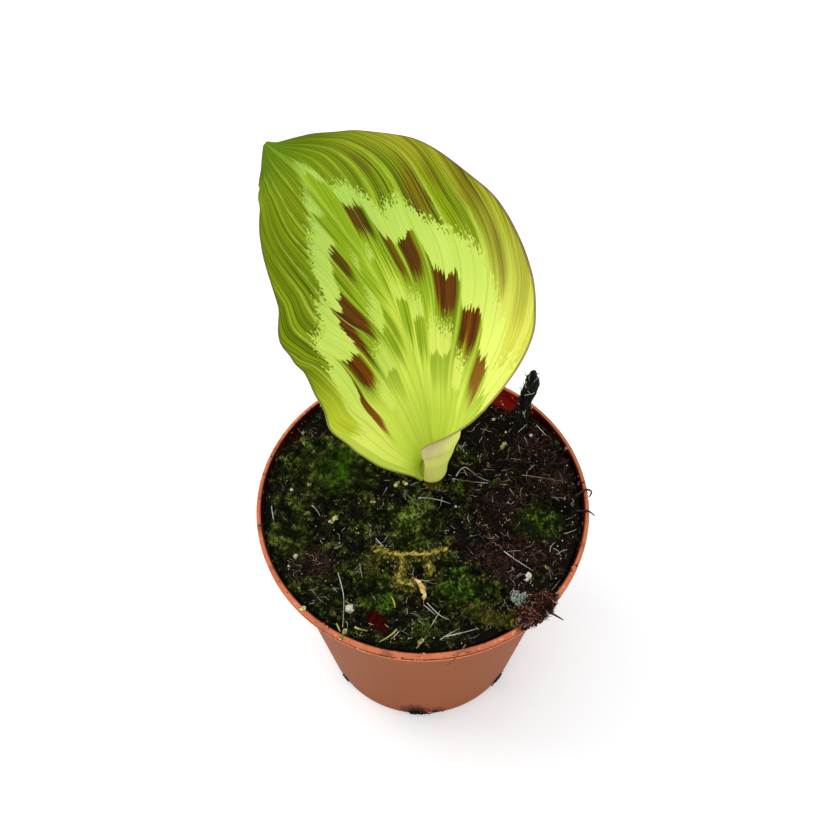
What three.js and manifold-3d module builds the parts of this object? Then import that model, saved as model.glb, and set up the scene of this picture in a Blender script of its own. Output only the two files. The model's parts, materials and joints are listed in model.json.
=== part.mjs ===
// A potted peacock ginger: one broad patterned leaf on a short rhizome, in a 12 cm plastic nursery pot.
// Lengths are millimetres and +Z is up. The origin is the centre of the pot's underside.
// The front of the pot, where the rolled base of the leaf laps over itself, faces -Y.

import * as THREE from 'three';
import { mergeVertices } from 'three/addons/utils/BufferGeometryUtils.js';
import Module from 'manifold-3d';

const wasm = await Module();
wasm.setup();

// Driving dimensions

// Space left between two pieces that touch.
const GAP = 0.3;

const POT = {
  height: 106,
  rimRadius: 60,
  wallTopRadius: 54.5,
  baseRadius: 40,
  wall: 1.2,
  rimWidth: 2.1,
  collarHeight: 4.6,
  sides: 60,
  slots: 7,
  slotWidth: 9,
  slotHeight: 3.4,
};

// The growing medium: level of its surface, how much higher it lies against the front right of the
// rim, and the spacing of the grid that carries its relief.
const SOIL = { level: 99.8, heap: 4.4, heapBearing: -35, gridStep: 4 };

// Mounds and hollows of the surface: x, y, radius and rise.
const SOIL_MOUNDS = [
  [29, 4, 12, 2.2],
  [-38, -23, 10, 2.0],
  [48, 14, 11, 1.6],
  [28, 47, 15, -5],
  [-48, 31, 9, -3],
  [5, 10, 9, 0.9],
];

// A clump of peat that has spilled over the front right of the rim: centre, half sizes across,
// along and above the rim, and the turn of the first of them from +X.
const SPILL = { centre: [39.3, -41.7, 105.4], halfSizes: [4.6, 9, 2.6], turn: -46.7 };

// Moss cushions: name, centre x and y, half lengths along x and y, and rise.
const MOSS = [
  ['moss_back_left', -32, 17, 15, 11, 3.4],
  ['moss_left', -47, -9, 7, 10, 2.4],
  ['moss_centre', -3, -5, 12, 8, 2.6],
  ['moss_front', 15, -32, 12, 7.5, 2.8],
  ['moss_front_left', -17, -32, 9, 6.5, 2.2],
  ['moss_right', 42, -5, 9, 8, 2.4],
];

// The midrib on the leaf's upper face, from the top of the stalk to the tip.
const MIDRIB = [
  [3.6, 14.4, 115.4],
  [3.4, 13.5, 118],
  [1.4, 18.3, 134.6],
  [-2.4, 25.7, 154],
  [-8.8, 35.1, 171],
  [-19.3, 46.7, 184],
  [-32.5, 61.7, 194],
  [-44.5, 74.7, 200],
  [-52.7, 80.5, 203],
];

// Half widths of the blade, measured over its curve, and how many degrees each half turns from the
// midrib to its margin. Past 180 degrees the right half laps round the front of the rolled base.
const BLADE = {
  thickness: 0.8,
  rows: 36,
  columns: 22,
  stations: [0, 0.04, 0.1, 0.18, 0.28, 0.4, 0.52, 0.64, 0.76, 0.88, 0.96, 1],
  leftWidths: [11.5, 16, 26, 32, 38, 39.5, 40.5, 36, 29, 19, 9, 0.8],
  rightWidths: [16.5, 19, 27.5, 39.5, 40.5, 49, 53, 46.5, 39, 22.5, 6.5, 0.8],
  leftTurns: [154, 124, 82, 60, 56, 50, 44, 38, 32, 26, 20, 15],
  rightTurns: [213, 200, 187, 184, 125, 73, 58, 48, 40, 32, 26, 20],
};

// The way that the upper face looks at the base, a third of the way up, and at the tip.
const FACING = { stations: [0, 0.3, 1], ways: [[-0.1, -1, 0.1], [0.1, -0.9, 0.4], [0.45, -0.5, 0.7]] };

// Waves of the margin: side (-1 left, 1 right), place along the midrib, half length along it,
// how far the margin is pushed outwards and how far it is lifted.
const MARGIN_WAVES = [
  [-1, 0.585, 0.06, 3.2, 0.5],
  [-1, 0.76, 0.12, 1, 2],
  [-1, 0.9, 0.05, 1, -1],
  [1, 0.93, 0.06, 0.4, 1.8],
  [1, 0.84, 0.06, 0, -1.2],
];

// Shallow pleats that follow the side veins, and the midrib's groove.
const PLEATS = { count: 5, depth: 0.3, midribDepth: 0.9, midribWidth: 0.07 };

// The leaf stalk and the scale leaf that sheathes it.
const STALK = {
  route: [[3.4, 11.4, 86], [3.6, 11.8, 95], [3.8, 12.3, 103], [3.8, 12, 108.6], [3.3, 10.1, 114.2]],
  radius: 2.2,
  topRadius: 4.9,
};
const SHEATH = { bottom: 0.3, top: 0.85, wall: 0.7, flare: 0.15 };

// The rhizome: knobs as centre and radius, then fleshy storage roots as the point where each ends.
const KNOB_SHAPE = [1.15, 0.9, 0.8];
const RHIZOME_KNOBS = [[-10, 15.5, 80, 6], [-3, 13.5, 81.5, 6.8], [4, 11.5, 82, 7.2], [11, 9, 79.5, 5.6]];
const STORAGE_ROOTS = [[-27, 22, 58], [-12, -2, 47], [6, 26, 45], [18, -8, 52], [30, 14, 60]];
const ROOT = { start: [1, 12, 79], neckRadius: 1.5, tuberRadius: 4.2 };

// The dead stub that stands by the rim, back right, as route points and radii.
const STUB = {
  route: [[35.2, 34.4, 89], [36, 35.3, 100], [37, 37.3, 112], [38.5, 39.4, 123], [39.6, 40.4, 131.5]],
  radii: [2.2, 2.7, 2.2, 3, 1.1],
};

// The dried strand, lying as a long piece and a side piece, and the flake of bark.
const STRAND = {
  long: [[-17, -17.4], [-9, -18.6], [0, -18], [8.8, -17.2]],
  side: [[-6.5, -18.5], [-4.6, -26], [-1.8, -32], [-0.6, -36.5]],
  radius: 0.9,
};
const FLAKE = {
  outline: [[-1, -0.4], [-0.3, -1], [0.7, -0.8], [1, 0.2], [0.2, 1], [-0.8, 0.6]],
  centre: [-15, -45],
  halfLength: 5.8,
  halfWidth: 1.7,
  thickness: 0.9,
  turn: -52,
};

// Colours

const COLOURS = {
  terracotta: 0xa35232,
  soil: 0x1d1611,
  moss: 0x4c6b1c,
  leaf: 0x93b53c,
  sheath: 0x6b5523,
  rhizome: 0xc9b48c,
  stub: 0x17130f,
  strand: 0x8c8a3a,
  bark: 0x4b1b12,
};

// Curves and relief

// A smooth curve through the values ys at the stations xs that never overshoots them.
function through(xs, ys, x) {
  const last = xs.length - 1;
  let k = 0;
  while (k < last - 1 && x > xs[k + 1]) k += 1;
  const rise = (i) => (ys[i + 1] - ys[i]) / (xs[i + 1] - xs[i]);
  const slope = (i) => {
    if (i === 0) return rise(0);
    if (i === last) return rise(last - 1);
    const before = rise(i - 1);
    const after = rise(i);
    return before * after <= 0 ? 0 : (2 * before * after) / (before + after);
  };
  const span = xs[k + 1] - xs[k];
  const t = (x - xs[k]) / span;
  const u = 1 - t;
  const ends = u * u * (1 + 2 * t) * ys[k] + t * t * (3 - 2 * t) * ys[k + 1];
  return ends + t * u * span * (u * slope(k) - t * slope(k + 1));
}

// The same, for a list of points.
function pointThrough(xs, points, x) {
  return new THREE.Vector3(...[0, 1, 2].map((axis) => through(xs, points.map((p) => p[axis]), x)));
}

// Stations from 0 to 1 by distance along a list of points.
function stationsOf(points) {
  const sums = [0];
  for (let i = 1; i < points.length; i += 1) {
    const step = Math.hypot(...points[i].map((value, axis) => value - points[i - 1][axis]));
    sums.push(sums[i - 1] + step);
  }
  return sums.map((sum) => sum / sums[sums.length - 1]);
}

function smoothStep(from, to, x) {
  const t = Math.min(1, Math.max(0, (x - from) / (to - from)));
  return t * t * (3 - 2 * t);
}

// A rounded bump: 1 in the middle, 0 from one half length away.
function bump(offset, halfLength) {
  const u = Math.abs(offset) / halfLength;
  return u < 1 ? 0.5 * (1 + Math.cos(Math.PI * u)) : 0;
}

// Height of the growing medium at a place.
function soilHeight(x, y) {
  const radius = Math.hypot(x, y);
  const bearing = Math.atan2(y, x) - THREE.MathUtils.degToRad(SOIL.heapBearing);
  const heap = SOIL.heap * smoothStep(40, 57, radius) * (0.8 + 0.2 * Math.cos(bearing));
  const mounds = SOIL_MOUNDS.map(([mx, my, r, rise]) => rise * bump(Math.hypot(x - mx, y - my), r));
  const ripple = 0.45 * Math.sin(x / 4.3 + 0.6 * Math.sin(y / 5.1)) * Math.cos(y / 3.9 + 1);
  return SOIL.level + heap + ripple + mounds.reduce((sum, rise) => sum + rise, 0);
}

// Closed bodies

function degenerate(a, b, c) {
  return a === b || b === c || c === a;
}

// Shared corners are merged, so that the geometry is one connected skin.
function welded(geometry) {
  geometry.deleteAttribute('normal');
  geometry.deleteAttribute('uv');
  const merged = mergeVertices(geometry, 1e-4);
  const corners = merged.index.array;
  const kept = [];
  for (let i = 0; i < corners.length; i += 3) {
    const [a, b, c] = [corners[i], corners[i + 1], corners[i + 2]];
    if (!degenerate(a, b, c)) kept.push(a, b, c);
  }
  merged.setIndex(kept);
  return merged;
}

function volumeOf(geometry) {
  const corners = geometry.index.array;
  const [a, b, c] = [new THREE.Vector3(), new THREE.Vector3(), new THREE.Vector3()];
  let volume = 0;
  for (let i = 0; i < corners.length; i += 3) {
    a.fromBufferAttribute(geometry.attributes.position, corners[i]);
    b.fromBufferAttribute(geometry.attributes.position, corners[i + 1]);
    c.fromBufferAttribute(geometry.attributes.position, corners[i + 2]);
    volume += a.dot(b.cross(c)) / 6;
  }
  return volume;
}

// A closed geometry as a solid, turned inside out first if its faces point inwards.
function solidOf(geometry) {
  const skin = welded(geometry);
  const triVerts = new Uint32Array(skin.index.array);
  if (volumeOf(skin) < 0) triVerts.reverse();
  const vertProperties = new Float32Array(skin.attributes.position.array);
  return new wasm.Manifold(new wasm.Mesh({ numProp: 3, vertProperties, triVerts }));
}

function geometryOf(solid) {
  const { vertProperties, triVerts } = solid.getMesh();
  const geometry = new THREE.BufferGeometry();
  geometry.setAttribute('position', new THREE.BufferAttribute(vertProperties, 3));
  geometry.setIndex(new THREE.BufferAttribute(triVerts, 1));
  return geometry;
}

function named(name, solid, color, roughness) {
  const geometry = geometryOf(solid);
  geometry.computeVertexNormals();
  const mesh = new THREE.Mesh(geometry, new THREE.MeshStandardMaterial({ color, roughness, metalness: 0 }));
  mesh.name = name;
  return mesh;
}

// A skin over rings of points. The first and the last ring are closed by a fan round their middle.
function skinOfRings(rings) {
  const count = rings[0].length;
  const points = rings.flat();
  const faces = [];
  for (let i = 0; i + 1 < rings.length; i += 1) {
    for (let j = 0; j < count; j += 1) {
      const a = i * count + j;
      const b = i * count + ((j + 1) % count);
      faces.push(a, b, b + count, a, b + count, a + count);
    }
  }
  const middle = (ring) => ring.reduce((sum, p) => sum.add(p), new THREE.Vector3()).divideScalar(count);
  const first = points.push(middle(rings[0])) - 1;
  const last = points.push(middle(rings[rings.length - 1])) - 1;
  const top = (rings.length - 1) * count;
  for (let j = 0; j < count; j += 1) {
    const next = (j + 1) % count;
    faces.push(next, j, first, top + j, top + next, last);
  }
  return new THREE.BufferGeometry().setFromPoints(points).setIndex(faces);
}

// A round bar along route points, with its radius given by radiusAt(0 to 1).
function bar(route, radiusAt, sides, steps, from = 0, to = 1) {
  const stations = stationsOf(route);
  const at = (u) => pointThrough(stations, route, u);
  const across = new THREE.Vector3(1, 0, 0);
  const rings = [];
  for (let i = 0; i <= steps; i += 1) {
    const u = from + ((to - from) * i) / steps;
    const way = at(Math.min(1, u + 0.01)).sub(at(Math.max(0, u - 0.01))).normalize();
    const side = across.clone().addScaledVector(way, -across.dot(way)).normalize();
    const front = way.clone().cross(side);
    const ring = [];
    for (let j = 0; j < sides; j += 1) {
      const angle = (2 * Math.PI * j) / sides;
      const point = at(u).addScaledVector(side, radiusAt(u) * Math.cos(angle));
      ring.push(point.addScaledVector(front, radiusAt(u) * Math.sin(angle)));
    }
    rings.push(ring);
  }
  return solidOf(skinOfRings(rings));
}

// A plate between two faces that are cut into the same triangles: upper(i, j) and lower(i, j).
function plate(rows, columns, upper, lower) {
  const points = [];
  const faces = [];
  const width = columns + 1;
  const perFace = (rows + 1) * width;
  for (const corner of [upper, lower]) {
    for (let i = 0; i <= rows; i += 1) {
      for (let j = 0; j <= columns; j += 1) points.push(corner(i, j));
    }
  }
  const quad = (a, b, c, d) => faces.push(a, b, c, a, c, d);
  for (let i = 0; i < rows; i += 1) {
    for (let j = 0; j < columns; j += 1) {
      const a = i * width + j;
      quad(a, a + 1, a + width + 1, a + width);
      quad(perFace + a, perFace + a + width, perFace + a + width + 1, perFace + a + 1);
    }
  }
  for (let i = 0; i < rows; i += 1) {
    const [a, b] = [i * width, i * width + columns];
    quad(a, a + width, perFace + a + width, perFace + a);
    quad(b + width, b, perFace + b, perFace + b + width);
  }
  for (let j = 0; j < columns; j += 1) {
    const [a, b] = [j, rows * width + j];
    quad(a + 1, a, perFace + a, perFace + a + 1);
    quad(b, b + 1, perFace + b + 1, perFace + b);
  }
  return solidOf(new THREE.BufferGeometry().setFromPoints(points).setIndex(faces));
}

// Pot

// The pot's section as [radius, height], up the outside and down the inside.
function potSection() {
  const { height, rimRadius, wallTopRadius, baseRadius, wall, rimWidth, collarHeight } = POT;
  const skirt = height - collarHeight;
  const inner = rimRadius - rimWidth;
  const outside = [
    [0, 0],
    [baseRadius - 1.6, 0],
    [baseRadius - 0.4, 0.5],
    [baseRadius, 1.6],
    [wallTopRadius, skirt - 1],
    [wallTopRadius + 0.9, skirt - 0.1],
    [rimRadius - 0.9, skirt],
    [rimRadius - 0.2, skirt + 0.5],
    [rimRadius - 0.3, skirt + 1.1],
    [rimRadius - 0.8, skirt + 1.5],
    [rimRadius - 0.2, skirt + 2],
    [rimRadius, skirt + 3.4],
    [rimRadius - 0.6, height],
  ];
  const inside = [
    [inner + 0.6, height],
    [inner, height - 0.7],
    [inner - 0.2, skirt + 1.7],
    [wallTopRadius - 0.6, skirt + 0.6],
    [wallTopRadius - wall, skirt - 0.8],
    [baseRadius - wall + 0.2, wall + 1.2],
    [baseRadius - wall - 1, wall],
    [0, wall],
  ];
  return { outside, inside };
}

function turned(section) {
  const points = section.map(([radius, height]) => new THREE.Vector2(radius, height));
  const geometry = new THREE.LatheGeometry(points, POT.sides);
  geometry.rotateX(Math.PI / 2);
  return solidOf(geometry);
}

// A section moved outwards by a distance, or inwards if it is below 0.
function movedSection(section, distance) {
  const normal = (a, b) => new THREE.Vector2(b[1] - a[1], a[0] - b[0]).normalize();
  return section.map((point, i) => {
    const before = i > 0 ? normal(section[i - 1], point) : null;
    const after = i < section.length - 1 ? normal(point, section[i + 1]) : null;
    const way = (before ?? after).clone().add(after ?? before).normalize();
    const reach = distance / Math.max(0.5, way.dot(before ?? after));
    return [point[0] === 0 ? 0 : point[0] + reach * way.x, point[1] + reach * way.y];
  });
}

function potSolid() {
  const { outside, inside } = potSection();
  let solid = turned([...outside, ...inside]);
  for (let k = 0; k < POT.slots; k += 1) {
    const slot = new THREE.BoxGeometry(8, POT.slotWidth, POT.slotHeight * 2);
    slot.translate(POT.baseRadius - 1, 0, 0);
    slot.rotateZ((2 * Math.PI * k) / POT.slots - Math.PI / 2);
    solid = solid.subtract(solidOf(slot));
  }
  return solid;
}

// Rhizome and roots

function ball(x, y, z, radius) {
  const geometry = new THREE.SphereGeometry(radius, 10, 6);
  geometry.scale(...KNOB_SHAPE);
  geometry.translate(x, y, z);
  return solidOf(geometry);
}

function storageRoot(end, extra) {
  const [a, b] = [new THREE.Vector3(...ROOT.start), new THREE.Vector3(...end)];
  const bend = a.clone().lerp(b, 0.5).add(new THREE.Vector3(0, 0, 5));
  const tuber = (u) => ROOT.neckRadius + (ROOT.tuberRadius - ROOT.neckRadius) * bump(u - 0.78, 0.26);
  return bar([a.toArray(), bend.toArray(), b.toArray()], (u) => tuber(u) + extra, 6, 8);
}

// The rhizome, or with extra above 0 the space that holds it.
function rhizomeSolid(extra) {
  let solid = ball(...RHIZOME_KNOBS[0].slice(0, 3), RHIZOME_KNOBS[0][3] + extra);
  for (const [x, y, z, radius] of RHIZOME_KNOBS.slice(1)) solid = solid.add(ball(x, y, z, radius + extra));
  for (const end of STORAGE_ROOTS) solid = solid.add(storageRoot(end, extra));
  return solid;
}

// Leaf

function stalkRadius(u) {
  return STALK.radius + (STALK.topRadius - STALK.radius) * smoothStep(0.84, 1, u);
}

function stalkSolid(extra) {
  return bar(STALK.route, (u) => stalkRadius(u) + extra, 12, 10);
}

const midribStations = stationsOf(MIDRIB);

// A point of the blade: s runs from the base (0) to the tip (1) and t from the left margin (-1)
// over the midrib (0) to the right margin (1).
function bladePoint(s, t) {
  const side = t < 0 ? -1 : 1;
  const widths = t < 0 ? BLADE.leftWidths : BLADE.rightWidths;
  const turns = t < 0 ? BLADE.leftTurns : BLADE.rightTurns;
  const midrib = pointThrough(midribStations, MIDRIB, s);
  const ahead = pointThrough(midribStations, MIDRIB, Math.min(1, s + 0.01));
  const way = ahead.sub(pointThrough(midribStations, MIDRIB, Math.max(0, s - 0.01))).normalize();
  const facing = pointThrough(FACING.stations, FACING.ways, s);
  facing.addScaledVector(way, -facing.dot(way)).normalize();
  const across = way.clone().cross(facing).multiplyScalar(side);
  const width = through(BLADE.stations, widths, s);
  const turn = THREE.MathUtils.degToRad(through(BLADE.stations, turns, s));
  const radius = width / turn;
  const angle = Math.abs(t) * turn;
  const outwards = across.clone().multiplyScalar(Math.cos(angle)).addScaledVector(facing, Math.sin(angle));
  const up = facing.clone().multiplyScalar(Math.cos(angle)).addScaledVector(across, -Math.sin(angle));
  const point = midrib.addScaledVector(across, radius * Math.sin(angle));
  point.addScaledVector(facing, radius * (1 - Math.cos(angle)));
  for (const [waveSide, place, halfLength, reach, lift] of MARGIN_WAVES) {
    if (waveSide !== side) continue;
    const strength = bump(s - place, halfLength) * Math.abs(t) ** 3;
    point.addScaledVector(outwards, reach * strength).addScaledVector(up, lift * strength);
  }
  const pleat = 0.5 - 0.5 * Math.cos(2 * Math.PI * PLEATS.count * Math.abs(t));
  const room = smoothStep(0, 0.3, s) * smoothStep(1, 0.8, s) * smoothStep(1, 0.8, Math.abs(t));
  point.addScaledVector(up, PLEATS.depth * pleat * room);
  return point.addScaledVector(up, -PLEATS.midribDepth * bump(t, PLEATS.midribWidth * 2) * room);
}

// The way that the under face looks there.
function underWay(s, t) {
  const h = 0.004;
  const along = bladePoint(Math.min(1, s + h), t).sub(bladePoint(Math.max(0, s - h), t));
  const over = bladePoint(s, Math.min(1, t + h)).sub(bladePoint(s, Math.max(-1, t - h)));
  return along.cross(over).normalize();
}

function bladeSolid() {
  const { rows, columns, thickness } = BLADE;
  const place = (i, j) => [i / rows, (2 * j) / columns - 1];
  const upper = (i, j) => bladePoint(...place(i, j));
  const lower = (i, j) => upper(i, j).addScaledVector(underWay(...place(i, j)), thickness);
  return plate(rows, columns, upper, lower);
}

// The scale leaf: a short tube round the stalk that opens a little towards its top.
function sheathSolid(extra) {
  const { bottom, top, wall, flare } = SHEATH;
  const outer = (u) => STALK.radius + GAP + wall + flare * smoothStep(bottom, top, u);
  return bar(STALK.route, (u) => outer(u) + extra, 12, 6, bottom, top);
}

// Growing medium and what lies on it

const gridHalf = Math.ceil(POT.rimRadius / SOIL.gridStep);

function gridPoint(i, j, lift) {
  const [x, y] = [(i - gridHalf) * SOIL.gridStep, (j - gridHalf) * SOIL.gridStep];
  return new THREE.Vector3(x, y, soilHeight(x, y) + lift);
}

// The space inside the pot, clear of its plastic by the gap, and carried on straight above the rim.
function potSpace() {
  const { inside } = potSection();
  const column = movedSection([...inside].reverse(), -GAP).slice(0, -2);
  const brim = column[column.length - 1][0];
  return turned([...column, [brim, POT.height + 20], [0, POT.height + 20]]);
}

function spillSolid() {
  const { outside, inside } = potSection();
  const geometry = new THREE.IcosahedronGeometry(1, 1);
  geometry.scale(...SPILL.halfSizes);
  geometry.rotateZ(THREE.MathUtils.degToRad(SPILL.turn));
  geometry.translate(...SPILL.centre);
  return solidOf(geometry).subtract(turned(movedSection([...outside, ...inside], GAP)));
}

function soilSolid() {
  const size = 2 * gridHalf;
  const bottom = (i, j) => gridPoint(i, j, 0).setZ(0);
  const block = plate(size, size, (i, j) => gridPoint(i, j, 0), bottom);
  return block.intersect(potSpace())
    .add(spillSolid())
    .subtract(rhizomeSolid(GAP))
    .subtract(sheathSolid(GAP))
    .subtract(stalkSolid(GAP))
    .subtract(stubSolid(GAP));
}

// A cushion of moss on the medium's own grid, so that it lies the gap above it everywhere.
function mossSolid(x, y, halfX, halfY, rise) {
  const step = SOIL.gridStep;
  const rows = Math.round((2 * halfX) / step);
  const columns = Math.round((2 * halfY) / step);
  const firstRow = Math.round(x / step - rows / 2) + gridHalf;
  const firstColumn = Math.round(y / step - columns / 2) + gridHalf;
  const corner = (i, j, lift) => gridPoint(firstRow + i, firstColumn + j, lift);
  const dome = (i, j) => {
    const [u, v] = [(2 * i) / rows - 1, (2 * j) / columns - 1];
    const roundness = Math.sqrt(Math.max(0.04, (1 - u * u) * (1 - v * v)));
    return rise * roundness * (0.85 + 0.15 * Math.sin(3 * i + 5 * j));
  };
  const block = plate(rows, columns, (i, j) => corner(i, j, GAP + dome(i, j)), (i, j) => corner(i, j, GAP));
  const outline = new THREE.CylinderGeometry(1, 1, 60, 18);
  outline.rotateX(Math.PI / 2);
  outline.scale((rows * step) / 2, (columns * step) / 2, 1);
  const [low, high] = [corner(0, 0, 0), corner(rows, columns, 0)];
  outline.translate((low.x + high.x) / 2, (low.y + high.y) / 2, SOIL.level);
  return block.intersect(solidOf(outline)).intersect(potSpace());
}

function stubSolid(extra) {
  const stations = stationsOf(STUB.route);
  return bar(STUB.route, (u) => through(stations, STUB.radii, u) + extra, 8, 9);
}

// A thin stem that follows the surface, resting the gap above its highest grains.
function lyingStem(points) {
  const lie = STRAND.radius + GAP + 0.25;
  const route = points.map(([x, y]) => [x, y, soilHeight(x, y) + lie]);
  return bar(route, (u) => STRAND.radius * (0.6 + 0.4 * Math.sin(Math.PI * u)), 6, 8);
}

function strandSolid() {
  return lyingStem(STRAND.long).add(lyingStem(STRAND.side));
}

function flakeSolid() {
  const turn = THREE.MathUtils.degToRad(FLAKE.turn);
  const centre = new THREE.Vector2(...FLAKE.centre);
  const corners = FLAKE.outline.map(([u, v]) => {
    const corner = new THREE.Vector2(u * FLAKE.halfLength, v * FLAKE.halfWidth);
    return corner.rotateAround(new THREE.Vector2(), turn).add(centre);
  });
  const settings = { depth: FLAKE.thickness, bevelEnabled: false };
  const geometry = new THREE.ExtrudeGeometry(new THREE.Shape(corners), settings);
  const highest = Math.max(...corners.map((corner) => soilHeight(corner.x, corner.y)));
  geometry.translate(0, 0, highest + GAP);
  return solidOf(geometry);
}

// Assembly

const plant = new THREE.Group();
const leaf = bladeSolid().add(stalkSolid(0));
plant.add(named('leaf', leaf, COLOURS.leaf, 0.45));
plant.add(named('leaf_sheath', sheathSolid(0).subtract(stalkSolid(GAP)), COLOURS.sheath, 0.6));
plant.add(named('rhizome', rhizomeSolid(0).subtract(stalkSolid(GAP)), COLOURS.rhizome, 0.7));

const bed = new THREE.Group();
bed.add(named('soil', soilSolid(), COLOURS.soil, 0.95));
for (const [name, ...place] of MOSS) bed.add(named(name, mossSolid(...place), COLOURS.moss, 0.9));
bed.add(named('root_stub', stubSolid(0), COLOURS.stub, 0.95));
bed.add(named('dried_strand', strandSolid(), COLOURS.strand, 0.8));
bed.add(named('bark_flake', flakeSolid(), COLOURS.bark, 0.85));

const pottedGinger = new THREE.Group();
pottedGinger.add(named('pot', potSolid(), COLOURS.terracotta, 0.5), bed, plant);

export default pottedGinger;
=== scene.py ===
# %% [markdown]
# # A potted peacock ginger
#
# One broad patterned leaf grows from mossy peat in a small terracotta-coloured nursery pot. The
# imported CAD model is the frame: it gives every main form its place and size. This script dresses
# it with smooth shapes, veins, moss, roots and finishes, and leaves the frame itself as it is.
# Shapes are modelled in millimetres, because the real plant is measured so, and are scaled to
# metres just before they leave the modelling mesh.

import json
import math
import random

import bmesh
import bpy
import numpy as np
from mathutils import Matrix, Vector, noise

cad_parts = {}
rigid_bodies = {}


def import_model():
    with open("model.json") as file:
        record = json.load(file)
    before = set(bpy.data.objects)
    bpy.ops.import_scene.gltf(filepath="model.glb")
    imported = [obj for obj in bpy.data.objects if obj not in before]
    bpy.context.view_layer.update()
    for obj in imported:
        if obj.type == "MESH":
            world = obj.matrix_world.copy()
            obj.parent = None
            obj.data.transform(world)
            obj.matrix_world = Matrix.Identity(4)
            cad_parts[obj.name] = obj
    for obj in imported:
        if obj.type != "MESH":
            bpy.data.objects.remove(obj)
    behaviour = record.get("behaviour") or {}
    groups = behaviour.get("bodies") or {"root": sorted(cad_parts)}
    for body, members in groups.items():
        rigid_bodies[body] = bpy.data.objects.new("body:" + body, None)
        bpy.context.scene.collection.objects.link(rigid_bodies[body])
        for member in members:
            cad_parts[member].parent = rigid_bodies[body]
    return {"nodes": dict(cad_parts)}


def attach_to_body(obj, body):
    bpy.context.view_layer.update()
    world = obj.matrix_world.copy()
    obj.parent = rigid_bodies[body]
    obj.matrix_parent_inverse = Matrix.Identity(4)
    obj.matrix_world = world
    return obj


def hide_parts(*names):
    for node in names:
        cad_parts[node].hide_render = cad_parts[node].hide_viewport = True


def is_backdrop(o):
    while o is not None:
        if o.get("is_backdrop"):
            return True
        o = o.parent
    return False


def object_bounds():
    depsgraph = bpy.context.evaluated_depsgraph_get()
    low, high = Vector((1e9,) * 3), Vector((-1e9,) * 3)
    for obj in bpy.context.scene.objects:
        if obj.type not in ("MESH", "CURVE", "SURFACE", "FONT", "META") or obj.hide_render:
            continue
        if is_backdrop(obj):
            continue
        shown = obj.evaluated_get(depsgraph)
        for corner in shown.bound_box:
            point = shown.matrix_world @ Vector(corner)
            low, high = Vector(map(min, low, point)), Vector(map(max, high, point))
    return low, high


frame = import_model()
cad_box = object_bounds()
print("nodes:", ", ".join(sorted(frame["nodes"])))

MM = 0.001  # one millimetre in the frame's metres

# %% [markdown]
# ## Camera
#
# The photograph looks down on the plant from about 60 degrees above the horizon and half a metre
# away. A camera can be turned with angles, or with the directions of its own axes. The axes are
# plainer here, because the small roll of the picture is a turn of two of them. The shift moves
# the frame without moving the viewpoint, as a crop of a larger picture does.

# %% Place the camera
IMAGE_SIDE = 840
ELEVATION = math.radians(60.5)
DISTANCE = 500 * MM
AIM = Vector((0, 0, 106 * MM))
FOCAL_PIXELS = 1387.5
CENTRE_PIXEL = (422.9, 503.5)
ROLL = math.radians(0.45)
SENSOR = 36.0

forward = Vector((0, math.cos(ELEVATION), -math.sin(ELEVATION)))
right = Vector((1, 0, 0))
upward = right.cross(forward)
turned_right = right * math.cos(ROLL) + upward * math.sin(ROLL)
turned_up = upward * math.cos(ROLL) - right * math.sin(ROLL)

lens = bpy.data.cameras.new("camera")
lens.sensor_width = SENSOR
lens.lens = SENSOR * FOCAL_PIXELS / IMAGE_SIDE
lens.shift_x = (IMAGE_SIDE / 2 - CENTRE_PIXEL[0]) / IMAGE_SIDE
lens.shift_y = (CENTRE_PIXEL[1] - IMAGE_SIDE / 2) / IMAGE_SIDE
lens.clip_start = 0.01
camera = bpy.data.objects.new("camera", lens)
axes = Matrix((turned_right, turned_up, -forward)).transposed()
camera.matrix_world = Matrix.Translation(AIM - forward * DISTANCE) @ axes.to_4x4()
bpy.context.collection.objects.link(camera)
bpy.context.scene.camera = camera
print("camera at", [round(value, 3) for value in camera.location], "lens", round(lens.lens, 1), "mm")

# %% [markdown]
# ## Light and floor
#
# The picture has a white ground and almost no shadow. A white world lights everything evenly, as
# a light tent does, and one large soft lamp from the upper left gives the forms their shading.
# The floor is a pale matt sheet with a faint glow of its own, as on a light table, marked as stage
# so that it doesn't count as part of the object.

# %% Light the set
scene = bpy.context.scene
scene.view_settings.view_transform = "Standard"

world = bpy.data.worlds.new("light_tent")
world.use_nodes = True
world.node_tree.nodes["Background"].inputs["Color"].default_value = (1, 1, 1, 1)
world.node_tree.nodes["Background"].inputs["Strength"].default_value = 0.97
scene.world = world


def soft_lamp(name, place, size, power):
    """A square lamp that faces the plant."""
    lamp = bpy.data.lights.new(name, "AREA")
    lamp.size = size
    lamp.energy = power
    stand = bpy.data.objects.new(name, lamp)
    stand.location = place
    stand.rotation_euler = (AIM - Vector(place)).to_track_quat("-Z", "Y").to_euler()
    bpy.context.collection.objects.link(stand)


soft_lamp("window", (-0.5, 0.15, 0.8), 0.5, 2.4)
soft_lamp("front", (0.4, -0.8, 0.7), 0.6, 0.9)

# %% [markdown]
# ## Finishes as small graphs
#
# Each finish is a graph of nodes that ends in one Principled shader. Starting a finish makes its
# graph the current one, and the helpers below add their nodes to it. A wire is the output of a
# node. Adding or multiplying wires adds the arithmetic nodes, so a graph reads like a formula.
# Numbers that are the same all over a surface go straight on the shader's own sockets, which is
# also what an exporter can read.

# %% Wires and finishes


class Wire:
    """The output of a node, with arithmetic that adds more nodes."""

    def __init__(self, socket):
        self.socket = socket

    def __add__(self, other):
        return maths("ADD", self, other)

    def __sub__(self, other):
        return maths("SUBTRACT", self, other)

    def __mul__(self, other):
        return maths("MULTIPLY", self, other)

    __rmul__ = __mul__


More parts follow.
